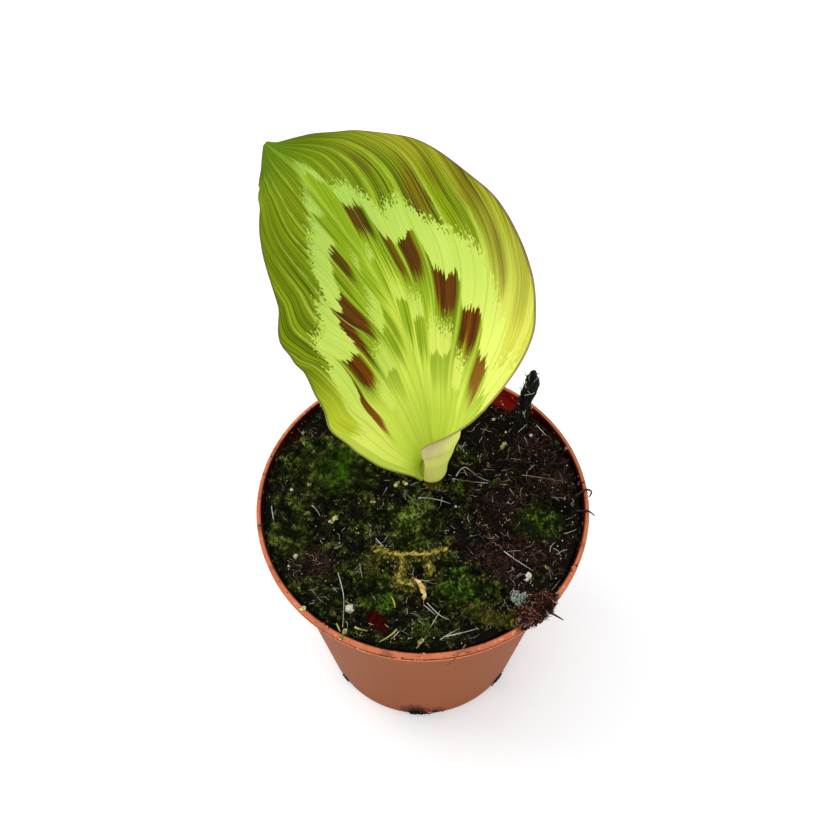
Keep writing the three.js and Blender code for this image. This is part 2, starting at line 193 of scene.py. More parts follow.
def srgb(red, green, blue):
    """A colour as seen on a screen, 0 to 255, as the linear values that shaders use."""
    shares = [value / 255 for value in (red, green, blue)]
    linear = [share / 12.92 if share < 0.04 else ((share + 0.055) / 1.055) ** 2.4 for share in shares]
    return (*linear, 1)


def new_finish(name, roughness, specular=0.5):
    """Starts a material, whose graph and shader become the current ones."""
    global graph, shader
    finish = bpy.data.materials.new(name)
    finish.use_nodes = True
    graph = finish.node_tree
    shader = graph.nodes["Principled BSDF"]
    shader.inputs["Roughness"].default_value = roughness
    shader.inputs["Specular IOR Level"].default_value = specular
    return finish


# %% Nodes by what they do


def attach(value, socket):
    """Joins a wire to a socket, or sets the socket to a number, a vector or a colour."""
    if isinstance(value, Wire):
        graph.links.new(value.socket, socket)
    else:
        socket.default_value = value


def add(kind, *inputs, out=0, **settings):
    """Adds a node, sets or joins its inputs in order, and gives back one of its outputs."""
    made = graph.nodes.new(kind)
    for key, value in settings.items():
        setattr(made, key, value)
    for socket, value in zip(made.inputs, inputs):
        if value is not None:
            attach(value, socket)
    return Wire(made.outputs[out])


def maths(operation, *values, clamp=False):
    """One arithmetic node."""
    return add("ShaderNodeMath", *values, operation=operation, use_clamp=clamp)


def larger(first, second):
    """The larger of two values."""
    return maths("MAXIMUM", first, second)


def ramp(value, low, high):
    """0 below low, 1 above high and smooth between; the other way round if low is above high."""
    return add("ShaderNodeMapRange", value, low, high, 0.0, 1.0, interpolation_type="SMOOTHSTEP")


def tint(share, first, second):
    """A colour between two, by a share from 0 to 1. Three numbers are a colour as on a screen."""
    made = graph.nodes.new("ShaderNodeMix")
    made.data_type = "RGBA"
    attach(share, made.inputs["Factor"])
    for value, socket in ((first, made.inputs[6]), (second, made.inputs[7])):
        on_screen = isinstance(value, tuple) and len(value) == 3
        attach(srgb(*value) if on_screen else value, socket)
    return Wire(made.outputs[2])


def object_place():
    """The place of a point of the object, in metres."""
    return add("ShaderNodeTexCoord", out=3)


def part_of(where, axis):
    """One coordinate of a place: 0, 1 or 2 for x, y or z."""
    return add("ShaderNodeSeparateXYZ", where, out=axis)


def stretched(where, scale):
    """Coordinates scaled by different amounts along their axes."""
    return add("ShaderNodeMapping", where, None, None, scale)


def distance(where, point):
    """The distance of a place from a point."""
    return add("ShaderNodeVectorMath", where, point, out=1, operation="DISTANCE")


def grain(scale, detail=3.0, where=None, roughness=0.55):
    """Cloudy noise from 0 to 1, at the place on the object if no other is given."""
    return add("ShaderNodeTexNoise", where or object_place(), None, scale, detail, roughness)


def attribute(name):
    """A number that the mesh carries for its points."""
    return add("ShaderNodeAttribute", out=2, attribute_name=name)


def paint(colour):
    """Joins a colour to the shader."""
    attach(colour, shader.inputs["Base Color"])


def relief(height, depth, strength=1.0):
    """Small bumps that the shape itself doesn't have."""
    made = graph.nodes.new("ShaderNodeBump")
    made.inputs["Strength"].default_value = strength
    made.inputs["Distance"].default_value = depth
    attach(height, made.inputs["Height"])
    attach(Wire(made.outputs[0]), shader.inputs["Normal"])


def mottled(name, roughness, specular, size, edges, dark, pale, bump=0, detail=3):
    """A finish of two colours mixed by noise, which can also give its bumps."""
    finish = new_finish(name, roughness, specular)
    spots = grain(size, detail)
    paint(tint(ramp(spots, *edges), dark, pale))
    if bump:
        relief(spots, bump)
    return finish


print("helpers ready")

# %% [markdown]
# ## Taking a piece out of the modelling mesh
#
# A bmesh is Blender's editable mesh. When a shape is done, it is scaled to metres, written to a
# mesh and shown as an object at the origin. Each piece then rides on the frame's body, hides the
# CAD node that it stands for, and gets its finish.

# %% Piece helper


def show(piece_mesh, name, finish, stands_for=(), smooth=True):
    """Shows a mesh as a piece of the object."""
    if smooth:
        piece_mesh.shade_smooth()
    piece_mesh.materials.append(finish)
    piece = bpy.data.objects.new(name, piece_mesh)
    bpy.context.collection.objects.link(piece)
    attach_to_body(piece, "root")
    if stands_for:
        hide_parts(*stands_for)
    corners = sum(len(face.vertices) - 2 for face in piece_mesh.polygons)
    print(name, corners, "triangles")
    return piece


def take_out(bm, name, finish, stands_for=(), smooth=True):
    """Scales a modelled shape to metres and shows it."""
    bmesh.ops.scale(bm, vec=(MM, MM, MM), verts=bm.verts)
    piece_mesh = bpy.data.meshes.new(name)
    bm.to_mesh(piece_mesh)
    bm.free()
    return show(piece_mesh, name, finish, stands_for, smooth)


# %% Floor
floor_finish = new_finish("pale_floor", 0.9, 0.1)
paint(tint(grain(40), (0.90, 0.935, 0.95, 1), (0.92, 0.955, 0.97, 1)))
shader.inputs["Emission Color"].default_value = (1, 1, 1, 1)
shader.inputs["Emission Strength"].default_value = 0.17
bm = bmesh.new()
bmesh.ops.create_grid(bm, x_segments=2, y_segments=2, size=4)
floor_mesh = bpy.data.meshes.new("floor")
bm.to_mesh(floor_mesh)
bm.free()
floor_mesh.materials.append(floor_finish)
floor = bpy.data.objects.new("floor", floor_mesh)
bpy.context.collection.objects.link(floor)
floor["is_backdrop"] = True
print("floor laid")

# %% [markdown]
# ## The pot
#
# The pot is injection moulded: a tapered wall a little over a millimetre thick, a round collar
# under the rim with a thin groove and a bead, a step inside, and drain slots round the bottom
# corner. A turned section makes all of it except the slots, so it is spun, like clay on a wheel.
# Each slot is then cut along planes in both skins, opened, and joined by bridging its edges.

# %% Spin the pot
POT_HEIGHT = 106
FOOT_RADIUS = 40
TURNS = 196  # steps round, a multiple of the slots
SLOTS = 7
SLOT_WIDTH = 9
SLOT_HEIGHT = 2.6
SLOT_INNER = 35

# The outside from the middle of the underside up to the rim, and the inside back down again, each
# point as (radius, height). The points close together round off the foot, the collar and the rim.
outside = [(0, 0), (SLOT_INNER, 0), (38.4, 0), (39.1, 0.15), (39.6, 0.5), (39.9, 1.0)]
outside += [(FOOT_RADIUS, 1.6), (54.5, 100.4), (54.75, 101), (55.4, 101.3), (59.1, 101.35)]
outside += [(59.6, 101.55), (59.8, 101.95), (59.75, 102.8), (59.45, 103.05), (59.15, 103.3)]
outside += [(59.3, 103.6), (59.75, 103.9), (60, 104.3), (60, 105), (59.85, 105.6)]
outside += [(59.4, POT_HEIGHT)]
inside = [(58.7, POT_HEIGHT), (58.15, 105.8), (57.9, 105.2), (57.7, 103.3), (57.3, 103)]
inside += [(54.1, 102.2), (53.5, 101.6), (53.3, 100.6), (39.6, 4.4), (39, 2.4), (38.6, 1.6)]
inside += [(37.8, 1.2), (SLOT_INNER, 1.2), (0, 1.2)]


def spun(section, turns):
    """A closed shape turned round the upright axis from a section of (radius, height)."""
    bm = bmesh.new()
    line = [bm.verts.new((radius, 0, height)) for radius, height in section]
    edges = [bm.edges.new(pair) for pair in zip(line, line[1:])]
    upright = {"cent": (0, 0, 0), "axis": (0, 0, 1)}
    bmesh.ops.spin(bm, geom=line + edges, **upright, angle=math.tau, steps=turns, use_merge=True)
    bmesh.ops.remove_doubles(bm, verts=bm.verts, dist=0.001)
    bmesh.ops.recalc_face_normals(bm, faces=bm.faces)
    return bm


pot = spun(outside + inside, TURNS)
print("pot spun:", len(pot.faces), "faces")

# %% Cut the drain slots


def cut(faces, point, normal):
    """Cuts faces of the pot along a plane."""
    edges = list({edge for face in faces for edge in face.edges})
    verts = list({vert for face in faces for vert in face.verts})
    parts = faces + edges + verts
    bmesh.ops.bisect_plane(pot, geom=parts, dist=0.0001, plane_co=point, plane_no=normal)


def at_slot(outwards, sideways, reach):
    """The faces of the bottom corner within a reach of a slot's middle."""
    found = []
    for face in pot.faces:
        middle = face.calc_center_median()
        near = middle.dot(outwards) > 0 and abs(middle.dot(sideways)) < reach
        if near and middle.z < SLOT_HEIGHT and middle.xy.length > SLOT_INNER - 0.1:
            found.append(face)
    return found


corner = [face for face in pot.faces if face.calc_center_median().z < POT_HEIGHT / 2]
corner = [face for face in corner if face.calc_center_median().xy.length > SLOT_INNER - 1]
cut(corner, (0, 0, SLOT_HEIGHT), (0, 0, 1))
for number in range(SLOTS):
    bearing = math.tau * number / SLOTS - math.pi / 2
    outwards = Vector((math.cos(bearing), math.sin(bearing), 0))
    sideways = Vector((-outwards.y, outwards.x, 0))
    for side in (-1, 1):
        cut(at_slot(outwards, sideways, SLOT_WIDTH), sideways * side * SLOT_WIDTH / 2, sideways)
    bmesh.ops.delete(pot, geom=at_slot(outwards, sideways, SLOT_WIDTH / 2), context="FACES")
    bmesh.ops.bridge_loops(pot, edges=[edge for edge in pot.edges if edge.is_boundary])
bmesh.ops.recalc_face_normals(pot, faces=pot.faces)
print("slots cut, open edges left:", sum(edge.is_boundary for edge in pot.edges))

# %% [markdown]
# ## Moulded plastic
#
# Cheap nursery pots are polypropylene with an iron-oxide colour: satin, slightly waxy, lighter
# and more orange on the thick rim. The wall is painted browner, as shade under the collar; the
# bead gets a painted highlight, and the groove painted shade with some dirt. Soil leaves dusty
# stains at the slots and crumbs of dirt on the rim. Height gives these colours, and noise gives
# the dirt and small painted highlights on the rim their places.

# %% Finish the pot
SLOT_STAINS = [(-93.5, 0.0076), (-81, 0.0036), (-38, 0.0055), (-142, 0.004)]  # bearing and reach
STAIN_RADIUS = 0.041
STAIN_HEIGHT = 0.001
TAPER = 0.149  # how much the radius grows with height
WALL_MIDDLE = 0.0391  # the middle of the wall at the foot, before its taper
COLLAR_STEP = 0.0037  # how much further out the collar's middle is
LIT_RED_INSIDE = (0.029, 0.050, 0.102)

plastic = new_finish("terracotta_plastic", 0.5, 0.02)
place = object_place()
height = part_of(place, 2)
# The wall is painted browner than the rim, as shade under the overhanging collar.
shaded_wall_colour = tint(grain(22), (134, 72, 38), (146, 82, 46))
rim_colour = tint(grain(90), (170, 90, 58), (214, 126, 88))
on_rim = ramp(height, 0.1000, 0.1014)
# A painted highlight along the bead under the collar.
bead_highlight = ramp(height, 0.1008, 0.1012) * ramp(height, 0.1024, 0.1018)
# Painted shade, with some dirt, in the groove above the bead.
groove_shade_and_dirt = ramp(height, 0.1026, 0.1030) * ramp(height, 0.1044, 0.1039)
clean = tint(on_rim, shaded_wall_colour, rim_colour)
clean = tint(bead_highlight, clean, (250, 172, 134))
clean = tint(0.95 * groove_shade_and_dirt, clean, (100, 26, 12))

# The inner wall is painted dark as shade, and red at the back right as painted light, where light
# falls on it. It is what lies nearer the axis than the middle of the wall.
flat_place = add("ShaderNodeVectorMath", place, (1, 1, 0), operation="MULTIPLY")
radius = add("ShaderNodeVectorMath", flat_place, out=1, operation="LENGTH")
wall_middle = COLLAR_STEP * ramp(height, 0.1013, 0.1018) + WALL_MIDDLE
inner = ramp(radius - TAPER * height - wall_middle, 0.0004, -0.0004)
inner_light_and_shade = tint(ramp(distance(place, LIT_RED_INSIDE), 0.019, 0.010), (30, 4, 3), (112, 11, 6))
clean = tint(inner, clean, inner_light_and_shade)

specks = ramp(grain(800, 2), 0.63, 0.68)
stain = ramp(grain(160, 4), 0.50, 0.68)
dirty = tint(larger(specks, 0.5 * stain) * on_rim, clean, (58, 34, 24))
ragged = 0.012 * (grain(900) - 0.5)
squat = stretched(place, (1, 1, 0.5))
for bearing, reach in SLOT_STAINS:
    turn = math.radians(bearing)
    slot_place = (STAIN_RADIUS * math.cos(turn), STAIN_RADIUS * math.sin(turn), STAIN_HEIGHT)
    off = distance(squat, slot_place) + ragged
    dirty = tint(ramp(off, reach, 0.75 * reach), dirty, (112, 38, 12))
    dirty = tint(ramp(off, 0.66 * reach, 0.45 * reach), dirty, (24, 9, 4))
# Small pale flecks on the rim are painted highlights.
highlight_flecks = ramp(grain(560), 0.36, 0.31) * on_rim
paint(tint(0.6 * highlight_flecks, dirty, (232, 190, 160)))
relief(grain(260, 2, stretched(place, (1, 1, 0.35))), 0.0002, 0.25)
pot_piece = take_out(pot, "pot_moulding", plastic, ("pot",))
pot_piece.data.set_sharp_from_angle(angle=math.radians(50))

# %% [markdown]
# ## The peat
#
# The growing medium fills the pot nearly to the rim. It is heaped against the wall at the front
# right, with mounds and hollows. The CAD body gives the large form; here nearly the same height
# rule shapes a much finer skin, and several sizes of noise break it into crumbs. The body is spun
# like the pot, so that its edge follows the wall, and its top is then pushed to height.

# %% Shape the peat
SOIL_LEVEL = 99.8
SOIL_HEAP = 4.8
HEAP_BEARING = math.radians(-35)
MOUNDS = [(29, 4, 12, 2.2), (-38, -23, 10, 2), (48, 14, 11, 1.6), (30, 48, 11, -5), (-48, 31, 7, -2.6)]
MOUNDS += [(5, 10, 9, 0.9)]


def smooth_step(low_end, high_end, value):
    """0 below the low end, 1 above the high end."""
    share = min(1, max(0, (value - low_end) / (high_end - low_end)))
    return share * share * (3 - 2 * share)


def bump(offset, half_length):
    """1 in the middle of a rounded bump, 0 past its half length."""
    share = abs(offset) / half_length
    return 0.5 * (1 + math.cos(math.pi * share)) if share < 1 else 0


def soil_height(x, y):
    """The height of the peat at a place, without its crumbs."""
    radius = math.hypot(x, y)
    bearing = math.atan2(y, x) - HEAP_BEARING
    heap = SOIL_HEAP * smooth_step(40, 56, radius) * (0.91 + 0.09 * math.cos(bearing))
    mounds = sum(rise * bump(math.hypot(x - mx, y - my), reach) for mx, my, reach, rise in MOUNDS)
    ripple = 0.45 * math.sin(x / 4.3 + 0.6 * math.sin(y / 5.1)) * math.cos(y / 3.9 + 1)
    return SOIL_LEVEL + heap + ripple + mounds


def patchy(x, y, layer, size):
    """Smooth noise round 0 that changes over a distance in mm. Each layer is another noise."""
    return noise.noise(Vector((x, y, layer)) / size)


def crumbly(x, y):
    """The height of the peat with its crumbs."""
    rough = patchy(x, y, 0, 4.6) + 0.75 * patchy(x, y, 0, 2.1) + 0.4 * patchy(x, y, 0, 0.9)
    return soil_height(x, y) + rough * smooth_step(58, 55, math.hypot(x, y)) - 0.25


TOP_STEP = 0.65
top_radii = np.arange(0, 57, TOP_STEP)
section = [(radius, SOIL_LEVEL) for radius in top_radii]
section += [(57.3, 103.1), (54.4, 102.4), (52.9, 100), (38.9, 3.2), (37.6, 1.6), (0, 1.6)]
soil = spun(section, 280)
for vert in soil.verts:
    if vert.co.z > SOIL_LEVEL - 0.01 and vert.co.xy.length < 57:
        vert.co.z = crumbly(vert.co.x, vert.co.y)
# The flat section crosses itself near its edge, so only now can Blender tell the outside
bmesh.ops.recalc_face_normals(soil, faces=soil.faces)
print("peat shaped:", len(soil.faces), "faces")

# %% [markdown]
# ## Peat and its colours
#
# Moist peat is nearly black with brown fibres in it. Two scales of noise mix black, dark brown
# and a reddish brown, and a fine bump gives the crumbs their grit. It is dull, because light
# sinks between the crumbs.

# %% Finish the peat
peat = new_finish("peat", 0.9, 0.08)
coarse = grain(160, 4)
fine = grain(900)
dark = tint(ramp(coarse, 0.35, 0.65), (3, 3, 2), (17, 12, 8))
paint(tint(ramp(fine, 0.58, 0.78), dark, (42, 29, 20)))
relief(fine, 0.0006)
take_out(soil, "peat_body", peat, ("soil",))

# %% [markdown]
# ## The leaf's shape
#
# The blade is one curved sheet. Its midrib leans back and to the left, and each half curls away
# from it, slightly at the tip and so much at the base that the halves roll round and the right
# margin laps over the front. A grid is laid flat, and every point is carried to its place by how
# far along the midrib and how far out to the margin it is. Nearly the same rule shapes the CAD
# node.

# %% State the leaf's form
# Points of the midrib, and for stations along it the width of each half and how far it turns
MIDRIB = [(3.6, 14.4, 115.4), (3.4, 13.5, 118), (1.4, 18.3, 134.6), (-2.4, 25.7, 154), (-8.8, 35.1, 171)]
MIDRIB += [(-19.3, 46.7, 184), (-32.5, 61.7, 194), (-44.5, 74.7, 200), (-52.7, 80.5, 203)]
STATIONS = [0, 0.04, 0.1, 0.18, 0.28, 0.4, 0.52, 0.64, 0.76, 0.88, 0.96, 1]
LEFT_WIDTHS = [11.5, 16, 26, 32, 38, 37, 40.5, 34.5, 29, 17.5, 8.7, 0.8]
RIGHT_WIDTHS = [16.5, 19, 27.5, 38, 41, 49.5, 56.5, 46, 37.5, 22.5, 4.5, 0.8]
LEFT_TURNS = [154, 124, 82, 60, 56, 50, 44, 38, 32, 26, 20, 15]
RIGHT_TURNS = [213, 200, 187, 190, 117, 63, 70, 48, 40, 32, 26, 20]
FACING_STATIONS = [0, 0.3, 1]
FACING = [(-0.1, -1, 0.1), (0.1, -0.9, 0.4), (0.45, -0.5, 0.7)]
# Side, place along the midrib, half length, reach outwards and lift of each wave of the margin
MARGIN_WAVES = [(-1, 0.585, 0.06, 3.2, 0.5), (-1, 0.76, 0.12, 1, 2), (-1, 0.9, 0.05, 1, -1)]
MARGIN_WAVES += [(1, 0.93, 0.06, 0.4, 1.8), (1, 0.84, 0.06, 0, -1.2), (-1, 0.94, 0.025, 1.3, -1.4)]
MARGIN_WAVES += [(-1, 0.4, 0.09, 1.1, -1.6), (1, 0.955, 0.025, 0.7, -0.3), (1, 0.9, 0.03, -0.9, -0.4)]
CHART_BASE = 0.03  # the veins run on below the blade's base, so the leaf's map starts a little up
LEAF_ROWS = 200
LEAF_COLUMNS = 144
# The numbers of the main veins of each half, which are read in the next step too
LEFT_VEINS = [-1.0, -0.82, -0.65, -0.485, -0.205, -0.07, 0.13, 0.285, 0.485, 0.68, 0.95]
RIGHT_VEINS = [-1.0, -0.845, -0.67, -0.50, -0.345, -0.20, -0.005, 0.215, 0.405, 0.60, 0.80, 0.98]
RIB_REACH = 0.35  # the share of a half in which the veins still run beside the midrib
RIB_PULL = 0.35
LEAN_SCALE = 1.12  # how far the veins have swept out at the leaf's tip
LEAN_POWER = 1.6
LEAN_START = 0.13
VEIN_DEPTH = 0.45
MIDRIB_DEPTH = 0.9
BLADE_THICK = 0.6


# %% Smooth curves through stations


def through(stations, values, at):
    """A smooth curve through values at stations that never overshoots them."""
    last = len(stations) - 1
    k = 0
    while k < last - 1 and at > stations[k + 1]:
        k += 1

    def rise(i):
        return (values[i + 1] - values[i]) / (stations[i + 1] - stations[i])

    def slope(i):
        if i in (0, last):
            return rise(min(i, last - 1))
        before, after = rise(i - 1), rise(i)
        return 0 if before * after <= 0 else 2 * before * after / (before + after)

    span = stations[k + 1] - stations[k]
    t = (at - stations[k]) / span
    u = 1 - t
    ends = u * u * (1 + 2 * t) * values[k] + t * t * (3 - 2 * t) * values[k + 1]
    return ends + t * u * span * (u * slope(k) - t * slope(k + 1))


def point_through(stations, points, at):
    """The same for points."""
    return Vector([through(stations, [point[axis] for point in points], at) for axis in range(3)])


def stations_of(points):
    """Stations from 0 to 1 by distance along a list of points."""
    sums_so_far = [0]
    for a, b in zip(points, points[1:]):
        sums_so_far.append(sums_so_far[-1] + (Vector(b) - Vector(a)).length)
    return [value / sums_so_far[-1] for value in sums_so_far]


# %% Place a point of the leaf


def on_map(s):
    """A place along the blade on the leaf's own map."""
    return CHART_BASE + (1 - CHART_BASE) * s


def from_rib(t):
    """The distance from the midrib, drawn out near it, where the veins leave it slowly."""
    return t - RIB_PULL * max(0, 1 - t / RIB_REACH) ** 2


def vein_lean(along):
    """How far a vein has moved out from the midrib, as a share of the half blade."""
    return LEAN_SCALE * max(0, along) ** LEAN_POWER - LEAN_START


def vein_phase(side, vein):
    """Whole numbers at the main veins, and the share of the way to the next between them."""
    veins = LEFT_VEINS if side < 0 else RIGHT_VEINS
    return float(np.interp(vein, veins, range(len(veins))))


def row_of_leaf(s):
    """What is the same for all points across the blade at one place along it."""
    middle = point_through(MIDRIB_STATIONS, MIDRIB, s)
    ahead = point_through(MIDRIB_STATIONS, MIDRIB, min(1, s + 0.01))
    behind = point_through(MIDRIB_STATIONS, MIDRIB, max(0, s - 0.01))
    way = (ahead - behind).normalized()
    facing = point_through(FACING_STATIONS, FACING, s)
    facing = (facing - way * facing.dot(way)).normalized()
    halves = {}
    for side, widths, turns in ((-1, LEFT_WIDTHS, LEFT_TURNS), (1, RIGHT_WIDTHS, RIGHT_TURNS)):
        turn = math.radians(through(STATIONS, turns, s))
        halves[side] = (through(STATIONS, widths, s) / turn, turn)
    return middle, way.cross(facing), facing, halves


def leaf_point(row, s, t):
    """A point of the upper face: s from base to tip, t from the left margin to the right one."""
    middle, rightwards, facing, halves = row
    side = -1 if t < 0 else 1
    radius, turn = halves[side]
    across = rightwards * side
    angle = abs(t) * turn
    outwards = across * math.cos(angle) + facing * math.sin(angle)
    up = facing * math.cos(angle) - across * math.sin(angle)
    point = middle + across * radius * math.sin(angle) + facing * radius * (1 - math.cos(angle))
    for wave_side, place, half_length, reach, lift in MARGIN_WAVES:
        if wave_side == side:
            share = bump(s - place, half_length) * abs(t) ** 3
            point += outwards * reach * share + up * lift * share
    room = smooth_step(0, 0.3, s) * smooth_step(1, 0.8, s) * smooth_step(1, 0.8, abs(t))
    swell = abs(math.sin(math.pi * vein_phase(side, from_rib(abs(t)) - vein_lean(on_map(s))))) ** 0.7
    swell *= smooth_step(0.02, 0.12, abs(t))
    hollow = MIDRIB_DEPTH * bump(t, 0.14)
    return point + up * room * (VEIN_DEPTH * swell - hollow)


# %% Carry a grid to the leaf
MIDRIB_STATIONS = stations_of(MIDRIB)
blade = bmesh.new()
bmesh.ops.create_grid(blade, x_segments=LEAF_COLUMNS, y_segments=LEAF_ROWS, size=1)
chart = blade.loops.layers.uv.new("blade")
for face in blade.faces:
    for loop in face.loops:
        loop[chart].uv = ((loop.vert.co.x + 1) / 2, on_map((loop.vert.co.y + 1) / 2))
rows = {}
for vert in blade.verts:
    s, t = (vert.co.y + 1) / 2, vert.co.x
    key = round(s, 5)
    if key not in rows:
        rows[key] = row_of_leaf(s)
    vert.co = leaf_point(rows[key], s, t)
print("blade:", len(blade.faces), "faces,", len(rows), "rows")

# %% [markdown]
# ## The leaf's pattern
#
# A peacock ginger has a pattern like a feather: a pale silver-green band with ragged edges, dark
# red-brown blotches inside it, a second pale row nearer the midrib, and a dark green margin. It
# follows the veins, so it is drawn on the leaf's own map, in two numbers: the place along the
# leaf, and the vein that runs through the point. A vein leaves the midrib and sweeps outwards,
# so its number is the distance from the midrib less how far such a vein has swept. Between two
# main veins each patch has its own foot and top. Curve nodes hold these, and noise that is
# stretched along the veins frays them.

# %% Feet and tops of the pale patches
# From vein, to vein, foot at each, top at each: along the leaf, 0 at its base and 1 at its tip
LEFT_BAND = [(-1.00, -0.83, 0.845, 0.828, 0.868, 0.842), (-0.80, -0.60, 0.772, 0.775, 0.845, 0.838)]
LEFT_BAND += [(-0.60, -0.49, 0.78, 0.785, 0.832, 0.815), (-0.48, -0.36, 0.70, 0.702, 0.787, 0.792)]
LEFT_BAND += [(-0.36, -0.21, 0.70, 0.69, 0.775, 0.752), (-0.21, -0.10, 0.678, 0.655, 0.752, 0.727)]
LEFT_BAND += [(-0.10, -0.04, 0.655, 0.605, 0.724, 0.71), (-0.04, 0.105, 0.603, 0.553, 0.712, 0.635)]
LEFT_BAND += [(0.11, 0.16, 0.596, 0.555, 0.63, 0.622), (0.165, 0.285, 0.545, 0.45, 0.62, 0.575)]
LEFT_BAND += [(0.29, 0.465, 0.442, 0.43, 0.565, 0.545), (0.47, 0.505, 0.46, 0.45, 0.54, 0.52)]
LEFT_BAND += [(0.51, 0.57, 0.335, 0.30, 0.52, 0.46), (0.575, 0.66, 0.26, 0.12, 0.455, 0.437)]
LEFT_BAND += [(0.665, 0.71, 0.10, 0.09, 0.355, 0.35), (0.715, 0.80, 0.09, 0.08, 0.26, 0.22)]
RIGHT_BAND = [(-0.86, -0.79, 0.885, 0.85, 0.925, 0.905), (-0.79, -0.645, 0.848, 0.822, 0.90, 0.86)]
RIGHT_BAND += [(-0.64, -0.50, 0.76, 0.755, 0.808, 0.822), (-0.50, -0.345, 0.755, 0.742, 0.822, 0.80)]
RIGHT_BAND += [(-0.34, -0.29, 0.695, 0.655, 0.772, 0.77), (-0.29, -0.205, 0.65, 0.64, 0.765, 0.73)]
RIGHT_BAND += [(-0.20, -0.01, 0.618, 0.634, 0.70, 0.715), (0.00, 0.03, 0.572, 0.545, 0.706, 0.69)]
RIGHT_BAND += [(0.03, 0.085, 0.54, 0.52, 0.685, 0.65), (0.085, 0.21, 0.517, 0.508, 0.645, 0.59)]
RIGHT_BAND += [(0.215, 0.40, 0.449, 0.432, 0.585, 0.53), (0.405, 0.44, 0.42, 0.37, 0.50, 0.49)]
RIGHT_BAND += [(0.44, 0.56, 0.365, 0.35, 0.485, 0.435), (0.56, 0.66, 0.345, 0.30, 0.43, 0.36)]
LEFT_ROW = [(-0.68, -0.46, 0.65, 0.61, 0.675, 0.64), (-0.40, -0.24, 0.53, 0.482, 0.577, 0.555)]
LEFT_ROW += [(-0.24, -0.04, 0.478, 0.455, 0.55, 0.50), (0.01, 0.235, 0.355, 0.335, 0.445, 0.405)]
LEFT_ROW += [(0.25, 0.39, 0.25, 0.22, 0.34, 0.30)]
RIGHT_ROW = [(-0.69, -0.545, 0.625, 0.62, 0.66, 0.655), (-0.53, -0.34, 0.512, 0.505, 0.55, 0.545)]
RIGHT_ROW += [(-0.33, -0.13, 0.452, 0.455, 0.51, 0.50), (-0.12, 0.20, 0.365, 0.352, 0.435, 0.405)]
RIGHT_ROW += [(0.235, 0.37, 0.27, 0.27, 0.345, 0.33)]
CHART_LOW = -1.35  # below the lowest vein number
CHART_SCALE = 0.21
CHART_STEP = 0.002
PHASES = 11  # the most main veins on a half, less one


def chart_place(side, vein):
    """Both halves on one line from 0 to 1: left margin, midrib, right margin."""
    return 0.5 + side * CHART_SCALE * (vein - CHART_LOW)


def chart_curve(chart_value, points):
    """A curve node with straight runs between points of the chart."""
    points = sorted(points)
    made = graph.nodes.new("ShaderNodeFloatCurve")
    curve = made.mapping.curves[0]
    curve.points[0].location = (0, points[0][1])
    curve.points[1].location = (1, points[-1][1])
    for x, y in points:
        curve.points.new(x, y)
    for point in curve.points:
        point.handle_type = "VECTOR"
    made.mapping.update()
    attach(chart_value, made.inputs["Value"])
    return Wire(made.outputs[0])


def edge_points(left, right, first):
    """The points of all feet (first is 2) or tops (first is 4)."""
    points = []
    for side, patches in ((-1, left), (1, right)):
        for patch in patches:
            points.append((chart_place(side, patch[0]) + side * CHART_STEP, patch[first]))
            points.append((chart_place(side, patch[1]) - side * CHART_STEP, patch[first + 1]))
    return points


def phase_points():
    """The points that number the main veins, as shares of the largest number."""
    points = []
    for side, veins in ((-1, LEFT_VEINS), (1, RIGHT_VEINS)):
        points += [(chart_place(side, vein), number / PHASES) for number, vein in enumerate(veins)]
    return points


print("patches:", len(LEFT_BAND + RIGHT_BAND + LEFT_ROW + RIGHT_ROW))

# %% Start the upper side: vein numbers
upper = new_finish("leaf_upper", 0.5, 0.08)
uv = add("ShaderNodeUVMap", uv_map="blade")
along = part_of(uv, 1)
across = 2 * part_of(uv, 0) - 1
side = maths("SIGN", across)
from_midrib = maths("ABSOLUTE", across)
lean = LEAN_SCALE * maths("POWER", along, LEAN_POWER) - LEAN_START
close = maths("MULTIPLY_ADD", from_midrib, -1 / RIB_REACH, 1, clamp=True)
vein = from_midrib - RIB_PULL * close * close - lean
signed_vein = (vein - CHART_LOW) * side
chart_value = CHART_SCALE * signed_vein + 0.5
vein_place = add("ShaderNodeCombineXYZ", signed_vein, along, 0)
phase = PHASES * chart_curve(chart_value, phase_points())
from_vein = maths("PINGPONG", phase, 0.5)
main_vein = ramp(from_vein, 0.045, 0.015)
middle_vein = ramp(from_vein, 0.470, 0.492)


def vein_noise(across_scale, along_scale, detail=2, seed=0):
    """Noise drawn out along the veins, about 0.5 in the middle."""
    where = add("ShaderNodeMapping", vein_place, (0, 0, seed), None, (across_scale, along_scale, 1))
    return grain(1, detail, where, 0.6)


print("veins numbered")

# %% [markdown]
# ## Fraying the patches
#
# On the real leaf each patch is a group of cells along the veins. At its foot it ends in teeth a
# millimetre wide; at its top it breaks up into dashes and dots. Long thin noise moves the edge
# for the teeth, and small noise that is as short as it is wide makes the dots.

# %% Fray the patches
teeth = vein_noise(48, 4, 3) - 0.5
dots = vein_noise(70, 110, 1, 3) - 0.5
wander = vein_noise(10, 4, 2, 7) - 0.5


def frayed(edge, tooth, dot):
    """An edge of a patch with teeth along the veins and dots beyond it."""
    return edge + tooth * teeth + 0.05 * wander + dot * dots


def patch_share(left, right, tooth, dot):
    """1 in the patches between their feet and tops, and how far a point is below a foot."""
    foot = frayed(chart_curve(chart_value, edge_points(left, right, 2)), tooth, 0.015)
    top = frayed(chart_curve(chart_value, edge_points(left, right, 4)), tooth * 1.3, dot)
    under_foot = foot - along
    above = ramp(under_foot, 0.002, -0.004)
    below = ramp(top - along, -0.002, 0.005)
    return above * below, under_foot


